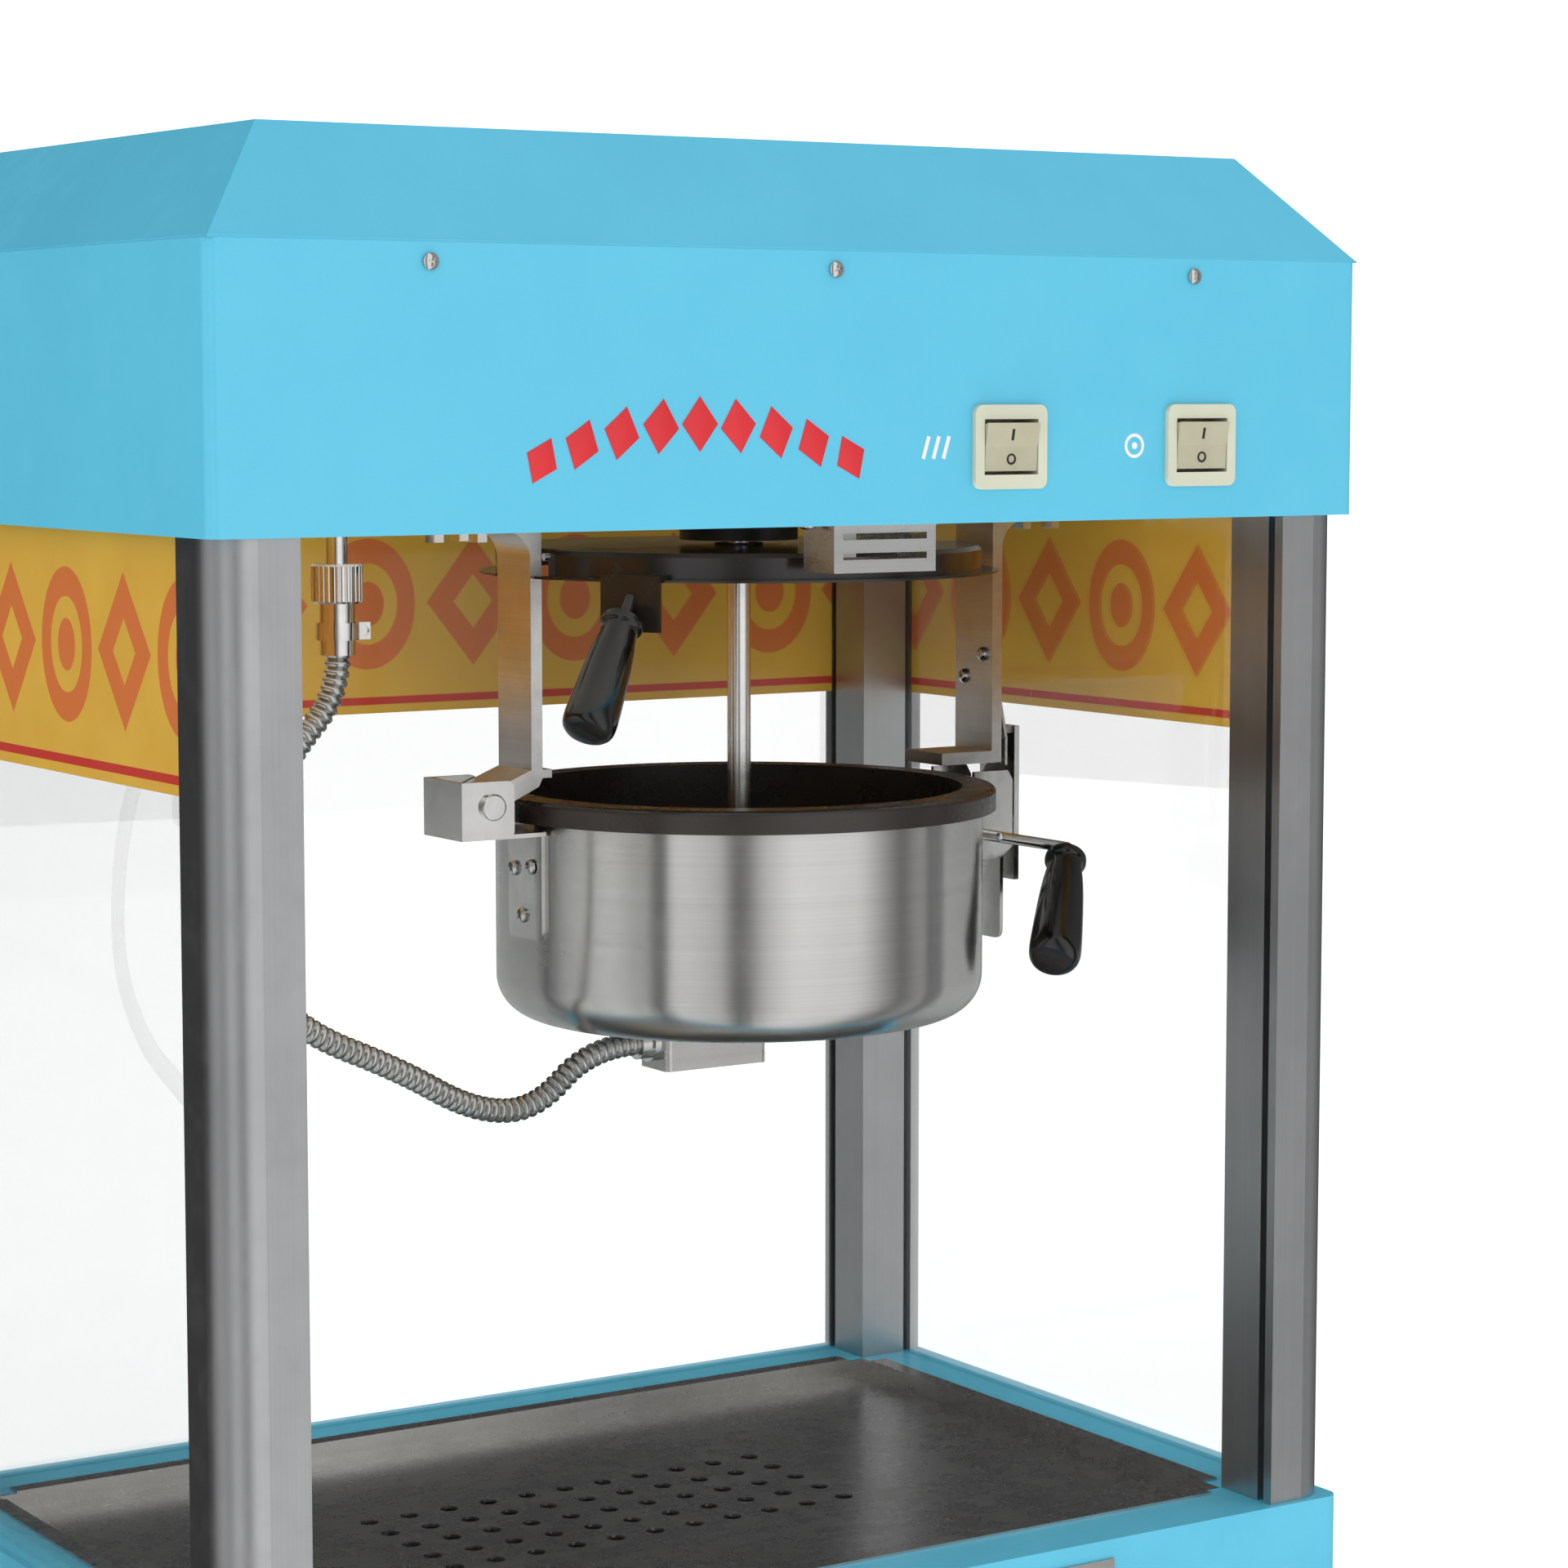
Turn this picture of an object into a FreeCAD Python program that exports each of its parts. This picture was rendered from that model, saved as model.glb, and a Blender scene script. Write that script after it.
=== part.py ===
import FreeCAD, Part
import math
import os
from FreeCAD import Vector

os.makedirs("parts", exist_ok=True)

# ---------------------------------------------------------------- driving dimensions, millimetres
# X runs to the operator's right, Y to the back, Z up; the origin is the middle of the footprint.
cabinet_width = 600.0
cabinet_depth = 400.0
foot_height = 14.0
foot_radius = 17.0
foot_inset = 34.0
base_height = 104.0
chamber_height = 482.0        # base top to ceiling
header_height = 120.0
roof_height = 50.0
roof_screw_pitch = 200.0
roof_inset = 42.0             # how far the roof's flat top stands in from its foot
sheet = 1.2                   # cabinet sheet metal
post_size = 38.0
post_inset = 3.5              # post face behind the cabinet's outer face
glass_thickness = 4.0
glass_setback = 6.0           # glass outer face behind the post's outer face
groove_clearance = 0.3
groove_depth = 9.0
film_thickness = 0.5
film_gap = 0.2               # the adhesive behind a film
banner_height = 108.0
ceiling_thickness = 1.5

kettle_y = -10.0
kettle_radius = 120.0
kettle_height = 101.0         # shell, floor to the underside of the rim
kettle_drop = 246.0           # ceiling to the shell's floor
shell_wall = 1.2
shell_corner = 20.0
rim_overhang = 6.5            # the rolled rim, beyond the shell
rim_radius = kettle_radius + rim_overhang
rim_height = 11.0
pan_wall = 2.0
pan_air_gap = 6.8             # shell to pan
pan_radius = kettle_radius - shell_wall - pan_air_gap - pan_wall      # inside
pan_depth = 74.0
pan_corner = 12.0

shaft_radius = 5.75
shaft_clearance = 0.05
stirrer_side_gap = 8.0        # tip to the start of the pan's rounded corner
stirrer_reach = pan_radius + pan_wall - pan_corner - stirrer_side_gap
stirrer_gap = 2.0             # above the pan's floor

lid_wall_radius = kettle_radius - 1.0
lid_flange = 8.0
lid_radius = lid_wall_radius + lid_flange
lid_sheet = 1.2
lid_crown = 12.0              # height of the raised wall
lid_drop = 27.5               # ceiling to the flange's top
lid_split_gap = 0.6

rim_drop = kettle_drop - kettle_height - rim_height      # ceiling to the rim's top
rim_low_drop = rim_drop + rim_height
hanger_width = 32.0
hanger_thickness = 6.0
left_leg = kettle_radius      # kettle axis to the left leg's inner face
right_leg_gap = 15.5          # rim to the right leg
right_leg = rim_radius + right_leg_gap
foot_gap = 11.0               # rim's top to the top of the hangers' feet
foot_drop = rim_drop - foot_gap
left_toe, right_toe = 5.0, 31.0      # how far a foot stands in from its leg
lid_notch_gap = 2.0           # beside a hanger
lid_notch = hanger_width / 2 + lid_notch_gap
lid_split = lid_notch         # the split line, in front of the axis, along the notches' front sides
lid_notch_start = min(left_leg - left_toe, right_leg - right_toe) - 3.0
flange_reach = 60.0
hanger_fillet = 14.0
side_room = 28.0              # right hanger's flange to the cabinet's right face
kettle_x = cabinet_width / 2 - right_leg - flange_reach - side_room
pivot_reach = 29.0            # left leg's inner face to the pivot pin
pivot_x = left_leg + pivot_reach
pivot_drop = rim_drop + 1.0
pivot_radius = 4.0
eye_radius = 8.5
bracket_sheet = 2.0
ear_gap = 1.0                 # between a hanger and the bracket's ear
ear_outside = hanger_width / 2 + ear_gap + bracket_sheet      # from the middle plane
latch_reach = 20.0            # shell to the latch shaft
latch_x = kettle_radius + latch_reach
latch_drop = rim_low_drop + 21.0
rod_radius = 2.8
rod_clearance = 0.05

conduit_radius = 6.0
socket_reach = kettle_radius + 99.0      # kettle axis to the conduit's ceiling connector
socket_x = kettle_x - socket_reach
socket_y = kettle_y

bolt_radius = 3.0
bolt_head = 5.0
screw_radius = 2.0
screw_head = 3.6
screw_head_height = 2.2
hole_clearance = 0.2

# ---------------------------------------------------------------- derived positions
half_width = cabinet_width / 2
half_depth = cabinet_depth / 2
base_top = foot_height + base_height
ceiling = base_top + chamber_height
header_top = ceiling + header_height
post_x = half_width - post_inset - post_size / 2
post_y = half_depth - post_inset - post_size / 2
glass_x = half_width - post_inset - glass_setback      # outer face of a side pane
glass_y = half_depth - post_inset - glass_setback
shell_floor = ceiling - kettle_drop
rim_low = shell_floor + kettle_height
rim_top = rim_low + rim_height
pan_floor = rim_top - pan_depth
pan_under = pan_floor - pan_wall
pivot = Vector(kettle_x - pivot_x, kettle_y, ceiling - pivot_drop)
latch = Vector(kettle_x + latch_x, kettle_y, ceiling - latch_drop)


# ---------------------------------------------------------------- helpers
def box(x0, x1, y0, y1, z0, z1):
    return Part.makeBox(x1 - x0, y1 - y0, z1 - z0, Vector(x0, y0, z0))


def rod(start, end, radius):
    run = end - start
    return Part.makeCylinder(radius, run.Length, start, run)


def cone(start, end, radius_start, radius_end):
    run = end - start
    return Part.makeCone(radius_start, radius_end, run.Length, start, run)


def tube(x, y, z0, z1, outer, inner):
    body = Part.makeCylinder(outer, z1 - z0, Vector(x, y, z0))
    return body.cut(Part.makeCylinder(inner, z1 - z0, Vector(x, y, z0)))


def disc(x, y, z0, z1, radius):
    return Part.makeCylinder(radius, z1 - z0, Vector(x, y, z0))


def joined(shapes):
    body = shapes[0]
    for shape in shapes[1:]:
        body = body.fuse(shape)
    return body.removeSplitter()


def without(body, cutters):
    for cutter in cutters:
        body = body.cut(cutter)
    return body


def upright_edges(shape, keep=None):
    edges = []
    for edge in shape.Edges:
        if len(edge.Vertexes) != 2:
            continue
        a, b = edge.Vertexes[0].Point, edge.Vertexes[1].Point
        if abs(a.x - b.x) < 1e-6 and abs(a.y - b.y) < 1e-6 and (keep is None or keep(a)):
            edges.append(edge)
    return edges


def level_edges(shape, x, z):
    """The edges along Y at one X and Z."""
    return [edge for edge in shape.Edges
            if all(abs(v.Point.x - x) < 1e-6 and abs(v.Point.z - z) < 1e-6 for v in edge.Vertexes)]


def rounded_box(x0, x1, y0, y1, z0, z1, radius):
    body = box(x0, x1, y0, y1, z0, z1)
    return body.makeFillet(radius, upright_edges(body))


def revolved(profile, x, y):
    face = Part.Face(Part.makePolygon(profile + [profile[0]]))
    body = face.revolve(Vector(0, 0, 0), Vector(0, 0, 1), 360)
    body.translate(Vector(x, y, 0))
    return body


def extruded_xz(points, y0, y1):
    outline = [Vector(x, y0, z) for x, z in points]
    face = Part.Face(Part.makePolygon(outline + [outline[0]]))
    return face.extrude(Vector(0, y1 - y0, 0))


def screw(at, direction, head_radius, head_height, shank_radius, shank_length):
    """A pan head standing out of the face at `at`, its shank going the other way."""
    out = Vector(direction).normalize()
    head = Part.makeCylinder(head_radius, head_height, at, out)
    rim = max(head.Edges, key=lambda edge: (edge.CenterOfMass - at).dot(out))
    head = head.makeFillet(head_height * 0.35, [rim])
    shank = Part.makeCylinder(shank_radius, shank_length, at, out * -1)
    return head.fuse(shank).removeSplitter()


def hole_for(at, direction, radius, depth):
    out = Vector(direction).normalize()
    return Part.makeCylinder(radius, 2 * depth, at + out * depth, out * -1)


def bent_tube(points, radius):
    """Straight runs joined by tangent arcs, each as large as its two runs allow."""
    edges = []
    here = points[0]
    for index in range(1, len(points) - 1):
        corner = points[index]
        back = (points[index - 1] - corner)
        ahead = (points[index + 1] - corner)
        turn = math.pi - back.getAngle(ahead)
        trim = 0.45 * min(back.Length, ahead.Length)
        bend = trim / math.tan(turn / 2)
        back.normalize()
        ahead.normalize()
        start, end = corner + back * trim, corner + ahead * trim
        inward = (back + ahead).normalize()
        middle = corner + inward * (bend / math.cos(turn / 2) - bend)
        edges.append(Part.makeLine(here, start))
        edges.append(Part.Arc(start, middle, end).toShape())
        here = end
    edges.append(Part.makeLine(here, points[-1]))
    path = Part.Wire(edges)
    section = Part.Wire(Part.makeCircle(radius, points[0], points[1] - points[0]))
    return path.makePipeShell([section], True, True)


def save(name, shape):
    shape.exportStep("parts/" + name + ".step")


def group(shapes):
    return Part.makeCompound(shapes)


# ---------------------------------------------------------------- base cabinet
drawer_width = 300.0
drawer_depth = cabinet_depth - 70.0
drawer_bottom = 24.0          # above the base's underside
tray_depth = 10.0
drawer_headroom = 8.0         # drawer's top to the deck tray
drawer_height = base_height - drawer_bottom - tray_depth - drawer_headroom
drawer_gap = 2.0
base_corner = 8.0
rail_clearance = 0.3
slot_half, slot_height, slot_down = 45.0, 18.0, 24.0      # the drawer's finger slot
drawer_lip = 9.0              # how far the drawer's front covers the opening's edges
rail_height = 6.0


def base_flange_width():
    return post_size + post_inset


def make_base_housing():
    z0 = foot_height
    body = box(-half_width, half_width, -half_depth, half_depth, z0, base_top)
    body = body.makeFillet(base_corner, upright_edges(body))
    x, y = half_width - sheet, half_depth - sheet
    body = body.cut(rounded_box(-x, x, -y, y, z0 + sheet, base_top - sheet, base_corner - sheet))
    rim = base_flange_width()
    body = body.cut(box(-half_width + rim, half_width - rim, -half_depth + rim, half_depth - rim,
                        base_top - 2 * sheet, base_top + 1))
    opening = box(-drawer_width / 2 - drawer_gap, drawer_width / 2 + drawer_gap, -half_depth - 1,
                  -half_depth + 10, z0 + drawer_bottom - rail_height - drawer_gap,
                  z0 + drawer_bottom + drawer_height + drawer_gap)
    return body.cut(opening)


def feet_centres():
    x, y = half_width - foot_inset, half_depth - foot_inset
    return [(sx * x, sy * y) for sx in (-1, 1) for sy in (-1, 1)]


def make_feet():
    return group([cone(Vector(x, y, 0), Vector(x, y, foot_height), foot_radius - 3, foot_radius)
                  for x, y in feet_centres()])


def make_deck_tray():
    """A shallow perforated floor that hangs in the base's opening by its own rim."""
    rim = base_flange_width()
    gap = 1.0
    lip_reach = 8.0
    x, y = half_width - rim - gap, half_depth - rim - gap
    depth = tray_depth
    body = box(-x, x, -y, y, base_top - depth, base_top)
    body = body.cut(box(-x + sheet, x - sheet, -y + sheet, y - sheet, base_top - depth + sheet, base_top + 1))
    lip = box(-x - lip_reach, x + lip_reach, -y - lip_reach, y + lip_reach, base_top, base_top + sheet)
    lip = lip.makeFillet(6.0, upright_edges(lip))
    lip = lip.cut(box(-x + sheet, x - sheet, -y + sheet, y - sheet, base_top - 1, base_top + 3))
    notch = post_size + post_inset - rim + 12
    for sx in (-1, 1):
        for sy in (-1, 1):
            corner = box(-notch, notch, -notch, notch, base_top, base_top + 3)
            corner.translate(Vector(sx * (half_width - rim), sy * (half_depth - rim), 0))
            lip = lip.cut(corner)
    body = joined([body, lip])
    rows, columns, pitch, hole = 5, 11, 22.0, 4.5
    holes = [disc((column - (columns - 1) / 2) * pitch, (row - (rows - 1) / 2) * pitch,
                  base_top - depth - 1, base_top - depth + sheet + 1, hole)
             for row in range(rows) for column in range(columns)]
    return body.cut(Part.makeCompound(holes))


def make_crumb_drawer():
    z0 = foot_height + drawer_bottom
    x = drawer_width / 2
    front = -half_depth
    body = box(-x, x, front, front + drawer_depth, z0, z0 + drawer_height)
    body = body.cut(box(-x + sheet, x - sheet, front + sheet, front + drawer_depth - sheet,
                        z0 + sheet, z0 + drawer_height + 1))
    face = box(-x - drawer_lip, x + drawer_lip, front - sheet, front, z0 - drawer_lip,
               z0 + drawer_height + drawer_lip)
    slot_z = z0 + drawer_height - slot_down
    slot_top = slot_z + slot_height
    slot = box(-slot_half, slot_half, front - 2 * sheet, front + 2 * sheet, slot_z, slot_top)
    hood = box(-slot_half - 2, slot_half + 2, front + sheet, front + 16, slot_top, slot_top + sheet)
    return joined([body.cut(slot), face.cut(slot), hood])


def make_drawer_runners():
    z0 = foot_height + sheet
    top = foot_height + drawer_bottom - rail_clearance
    rails = []
    for side in (-1, 1):
        inner, outer = drawer_width / 2 - 14, drawer_width / 2 + 6
        flat = box(inner, outer, -half_depth + sheet, half_depth - 40, top - sheet, top)
        leg = box(outer - sheet, outer, -half_depth + sheet, half_depth - 40, z0, top + 8)
        rail = joined([flat, leg])
        if side < 0:
            rail = rail.mirror(Vector(0, 0, 0), Vector(1, 0, 0))
        rails.append(rail)
    return group(rails)


# ---------------------------------------------------------------- posts, glass and printed films
def post_section(x_side, y_side, z0, z1):
    half = post_size / 2
    body = box(-half, half, -half, half, z0, z1)
    body = body.makeFillet(half, upright_edges(body, lambda p: p.x > 0 and p.y > 0))
    groove = glass_thickness + 2 * groove_clearance
    side = half - glass_setback + groove_clearance
    body = body.cut(box(side - groove, side, -half - 1, -half + groove_depth, z0 - 1, z1 + 1))
    body = body.cut(box(-half - 1, -half + groove_depth, side - groove, side, z0 - 1, z1 + 1))
    if x_side < 0:
        body = body.mirror(Vector(0, 0, 0), Vector(1, 0, 0))
    if y_side < 0:
        body = body.mirror(Vector(0, 0, 0), Vector(0, 1, 0))
    body.translate(Vector(x_side * post_x, y_side * post_y, 0))
    return body


pane_reach = groove_depth - 2.0      # how far a pane's edge goes into the groove


def side_pane(side):
    y = post_y - post_size / 2 + pane_reach
    x0, x1 = glass_x - glass_thickness, glass_x
    pane = box(x0, x1, -y, y, base_top, ceiling)
    if side < 0:
        pane = pane.mirror(Vector(0, 0, 0), Vector(1, 0, 0))
    return pane


def rear_pane():
    x = post_x - post_size / 2 + pane_reach
    return box(-x, x, glass_y - glass_thickness, glass_y, base_top, ceiling)


def side_banner(side):
    y = post_y - post_size / 2
    x = glass_x + film_gap
    film = box(x, x + film_thickness, -y, y, ceiling - banner_height, ceiling)
    if side < 0:
        film = film.mirror(Vector(0, 0, 0), Vector(1, 0, 0))
    return film


def rear_banner():
    x = post_x - post_size / 2
    y = glass_y + film_gap
    return box(-x, x, y, y + film_thickness, ceiling - banner_height, ceiling)


# ---------------------------------------------------------------- header, ceiling and roof
switch_width = 40.0
switch_height = 38.0
window_width = 30.0
window_height = 25.0
bezel_thickness = 2.5
bezel_round = 4.0
well_depth = 24.0
switch_rise = 34.0            # ceiling to a switch's centre
switch_xs = {"heat": kettle_x + 24.0, "motor": kettle_x + 134.0}
cutout_margin = 1.0
inlet_x = half_width - 120.0
inlet_rise = 60.0             # ceiling to its centre
inlet_plate = 4.8
corner_round = 6.0
skirt_height = 16.0           # the roof's skirt inside the header
header_lip = 14.0             # the header's inward lip, which the ceiling plate rests on


def make_header_housing():
    body = box(-half_width, half_width, -half_depth, half_depth, ceiling, header_top)
    body = body.makeFillet(corner_round, upright_edges(body))
    x, y = half_width - sheet, half_depth - sheet
    body = body.cut(rounded_box(-x, x, -y, y, ceiling + sheet, header_top + 1, corner_round - sheet))
    body = body.cut(box(-half_width + header_lip, half_width - header_lip, -half_depth + header_lip,
                        half_depth - header_lip, ceiling - 1, ceiling + 3))
    for x in switch_xs.values():
        body = body.cut(switch_cutout(x))
    return body.cut(inlet_block(0.0))


def switch_cutout(x):
    w, h = window_width / 2 + cutout_margin, window_height / 2 + cutout_margin
    z = ceiling + switch_rise
    return box(x - w, x + w, -half_depth - 1, -half_depth + sheet + 1, z - h, z + h)


def make_ceiling_plate(holes):
    x, y = half_width - 2 * sheet, half_depth - 2 * sheet
    z = ceiling + sheet
    body = rounded_box(-x, x, -y, y, z, z + ceiling_thickness, corner_round)
    body = joined([body, box(-half_width + header_lip, half_width - header_lip, -half_depth + header_lip,
                             half_depth - header_lip, ceiling, ceiling + sheet)])
    return without(body, holes)


def loft_box(x, y, z0, top_x, top_y, z1):
    def outline(a, b, z):
        corners = [Vector(-a, -b, z), Vector(a, -b, z), Vector(a, b, z), Vector(-a, b, z)]
        return Part.makePolygon(corners + [corners[0]])
    return Part.makeLoft([outline(x, y, z0), outline(top_x, top_y, z1)], True, True)


def roof_screw_places():
    xs, z = (-roof_screw_pitch, 0.0, roof_screw_pitch), header_top - skirt_height / 2
    places = [(Vector(x, side * half_depth, z), Vector(0, side, 0)) for x in xs for side in (-1, 1)]
    return places


def make_roof_cover():
    x, y = half_width, half_depth
    flat_x, flat_y = half_width - roof_inset, half_depth - roof_inset
    roof_top = header_top + roof_height
    outer = loft_box(x, y, header_top, flat_x, flat_y, roof_top)
    inner = loft_box(x - sheet, y - sheet, header_top - 0.01, flat_x - sheet, flat_y - sheet,
                     roof_top - sheet)
    skin = outer.cut(inner)
    x, y = half_width - 2 * sheet, half_depth - 2 * sheet
    skirt = rounded_box(-x, x, -y, y, header_top - skirt_height, header_top + sheet, corner_round)
    x, y = half_width - sheet / 2, half_depth - sheet / 2
    ledge = box(-x, x, -y, y, header_top, header_top + sheet)
    x, y = half_width - 3 * sheet, half_depth - 3 * sheet
    inside = box(-x, x, -y, y, header_top - skirt_height - 1, header_top + sheet + 1)
    skirt, ledge = skirt.cut(inside), ledge.cut(inside)
    return joined([skin, skirt, ledge])


def switch_bezel(x):
    w, h = switch_width / 2, switch_height / 2
    z = ceiling + switch_rise
    front = -half_depth
    plate = box(x - w, x + w, front - bezel_thickness, front, z - h, z + h)
    edges = [edge for edge in plate.Edges if abs(edge.Vertexes[0].Point.y - edge.Vertexes[-1].Point.y) > 1]
    plate = plate.makeFillet(bezel_round, edges)
    w, h = window_width / 2 + cutout_margin - 0.3, window_height / 2 + cutout_margin - 0.3
    well = box(x - w, x + w, front, front + well_depth, z - h, z + h)
    body = plate.fuse(well)
    w, h = window_width / 2, window_height / 2
    body = body.cut(box(x - w, x + w, front - 5, front + 16, z - h, z + h))
    tabs = [box(x + dx - 3, x + dx + 3, front + well_depth, front + well_depth + 10, z - 0.5, z + 0.5)
            for dx in (-8, 8)]
    return joined([body] + tabs)


rocker_gap = 0.5
rocker_depth = 9.0
rocker_throw = 12.0           # degrees between the two positions


def rocker_axis():
    return Vector(0, -half_depth + 2.5, ceiling + switch_rise)


def make_rocker(x):
    """A V-faced rocker, drawn with its lower half pressed in flush."""
    w, h = window_width / 2 - rocker_gap, window_height / 2 - 1.6
    axis = rocker_axis()
    slope = math.tan(math.radians(rocker_throw))
    face = axis.y - 4.6
    points = [(face + 0.2, axis.z - h), (face - 0.4, axis.z),
              (face - 0.4 - h * slope, axis.z + h), (axis.y + rocker_depth * 0.4, axis.z + h * 0.82),
              (axis.y + rocker_depth, axis.z + 3), (axis.y + rocker_depth, axis.z - 3),
              (axis.y + rocker_depth * 0.4, axis.z - h * 0.82)]
    outline = [Vector(x - w, y, z) for y, z in points]
    solid = Part.Face(Part.makePolygon(outline + [outline[0]])).extrude(Vector(2 * w, 0, 0))
    return solid


def inlet_block(grow):
    z = ceiling + inlet_rise
    return box(inlet_x - 14 - grow, inlet_x + 14 + grow, half_depth - 20 - grow, half_depth + 1 + grow,
               z - 10 - grow, z + 10 + grow)


def make_power_inlet():
    z = ceiling + inlet_rise
    body = inlet_block(0.0).common(box(-999, 999, -999, half_depth, 0, 999))
    plate = box(inlet_x - 25, inlet_x + 25, half_depth, half_depth + inlet_plate, z - 14, z + 14)
    body = joined([body, plate])
    body = body.cut(box(inlet_x - 12, inlet_x + 12, half_depth - 16, half_depth + 9, z - 8, z + 8))
    pins = [box(inlet_x + dx - 1, inlet_x + dx + 1, half_depth - 16, half_depth - 2, z + dz - 2, z + dz + 2)
            for dx, dz in ((-7, -2), (7, -2), (0, 3))]
    return joined([body] + pins)


# ---------------------------------------------------------------- hangers
left_bolt_offsets = [(-48.0, 0.0), (-30.0, -9.0), (-30.0, 9.0)]
right_bolt_offsets = [(30.0, 0.0), (48.0, 0.0)]
washer = 1.2


def hanger_bolt_places():
    left = [Vector(kettle_x - left_leg + dx, kettle_y + dy, ceiling - hanger_thickness)
            for dx, dy in left_bolt_offsets]
    right = [Vector(kettle_x + right_leg + dx, kettle_y + dy, ceiling - hanger_thickness)
             for dx, dy in right_bolt_offsets]
    return left + right


def make_hanger_bolts():
    bolts = []
    for at in hanger_bolt_places():
        corners = [at + Vector(bolt_head * math.cos(math.radians(a)), bolt_head * math.sin(math.radians(a)),
                               -washer) for a in range(0, 361, 60)]
        head = Part.Face(Part.makePolygon(corners)).extrude(Vector(0, 0, -4))
        disk = disc(at.x, at.y, at.z - washer, at.z, bolt_head + 1.2)
        shank = disc(at.x, at.y, at.z, ceiling + 14, bolt_radius)
        nut = disc(at.x, at.y, ceiling + sheet + ceiling_thickness, ceiling + 8, bolt_head)
        bolts.append(joined([head, disk, shank, nut]))
    return group(bolts)


def hanger_bolt_holes():
    return [disc(at.x, at.y, ceiling - 20, ceiling + 20, bolt_radius + hole_clearance)
            for at in hanger_bolt_places()]


def top_corner_fillet(x_leg, side, y0, y1):
    """The concave web where the flange turns down into the leg."""
    r = hanger_fillet
    z = ceiling - hanger_thickness
    x0, x1 = sorted((x_leg, x_leg + side * r))
    block = box(x0, x1, y0, y1, z - r, z)
    bite = rod(Vector(x_leg + side * r, y0 - 1, z - r), Vector(x_leg + side * r, y1 + 1, z - r), r)
    return block.cut(bite)


def make_left_hanger():
    y0, y1 = kettle_y - hanger_width / 2, kettle_y + hanger_width / 2
    inner = kettle_x - left_leg
    outer = inner - hanger_thickness
    foot = ceiling - foot_drop
    flange = box(inner - flange_reach, inner, y0, y1, ceiling - hanger_thickness, ceiling)
    leg = box(outer, inner, y0, y1, foot, ceiling)
    corner = top_corner_fillet(outer, -1, y0, y1)
    toe = box(inner, inner + left_toe, y0, y1, foot, foot + 4)
    arm = extruded_xz([(outer, foot + 4), (inner, foot), (inner - 2, foot - 4),
                       (pivot.x + 3, pivot.z - 3), (pivot.x - 2, pivot.z + 6)], y0, y1)
    eye = rod(Vector(pivot.x, y0, pivot.z), Vector(pivot.x, y1, pivot.z), eye_radius)
    body = joined([flange, leg, corner, toe, arm, eye])
    pin_hole = rod(Vector(pivot.x, y0 - 1, pivot.z), Vector(pivot.x, y1 + 1, pivot.z),
                   pivot_radius + shaft_clearance)
    return without(body, hanger_bolt_holes() + [pin_hole])


catch_top_drop = foot_drop - 61.0
catch_bottom_drop = foot_drop + 8.0
catch_lean = 6.0
catch_sheet = 1.5
catch_screw_drops = (foot_drop - 49.0, foot_drop - 37.0)


def catch_screw_places():
    x = kettle_x + right_leg
    return [Vector(x, kettle_y + dy, ceiling - drop) for dy, drop in zip((-8.0, 8.0), catch_screw_drops)]


def make_right_hanger():
    y0, y1 = kettle_y - hanger_width / 2, kettle_y + hanger_width / 2
    inner = kettle_x + right_leg
    outer = inner + hanger_thickness
    foot = ceiling - foot_drop - hanger_thickness
    flange = box(inner, inner + flange_reach, y0, y1, ceiling - hanger_thickness, ceiling)
    leg = box(inner, outer, y0, y1, foot, ceiling)
    corner = top_corner_fillet(outer, 1, y0, y1)
    toe = box(inner - right_toe, outer, y0, y1, foot, foot + hanger_thickness)
    body = joined([flange, leg, corner, toe])
    holes = [hole_for(at, (1, 0, 0), screw_radius, 12) for at in catch_screw_places()]
    return without(body, hanger_bolt_holes() + holes)


def make_catch_plate():
    """A spring-steel strip screwed to the right leg's outside, leaning out to its lip."""
    x = kettle_x + right_leg + hanger_thickness
    half = hanger_width / 2 - 3
    y0, y1 = kettle_y - half, kettle_y + half
    top, bend = ceiling - catch_top_drop, ceiling - catch_screw_drops[1] - 8
    low = ceiling - catch_bottom_drop
    t = catch_sheet
    lean = x + catch_lean
    plate = extruded_xz([(x, top), (x + t, top), (x + t, bend), (lean, low + 14), (lean, low),
                         (lean - t, low), (lean - t, low + 14), (x, bend)], y0, y1)
    holes = [hole_for(at, (1, 0, 0), screw_radius, 20) for at in catch_screw_places()]
    return without(plate, holes)


# ---------------------------------------------------------------- lamp
lamp_x, lamp_y = kettle_x - 19.0, kettle_y - rim_radius - 15.5
lamp_width, lamp_depth, lamp_height = 56.0, 25.0, 23.0
lamp_flange = 12.0
lamp_sheet = 1.0
socket_length = 14.0
bulb_radius, bulb_length = 5.0, 26.0


def lamp_screw_places():
    return [Vector(lamp_x + side * (lamp_width / 2 + lamp_flange / 2), lamp_y, ceiling - lamp_sheet)
            for side in (-1, 1)]


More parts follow.
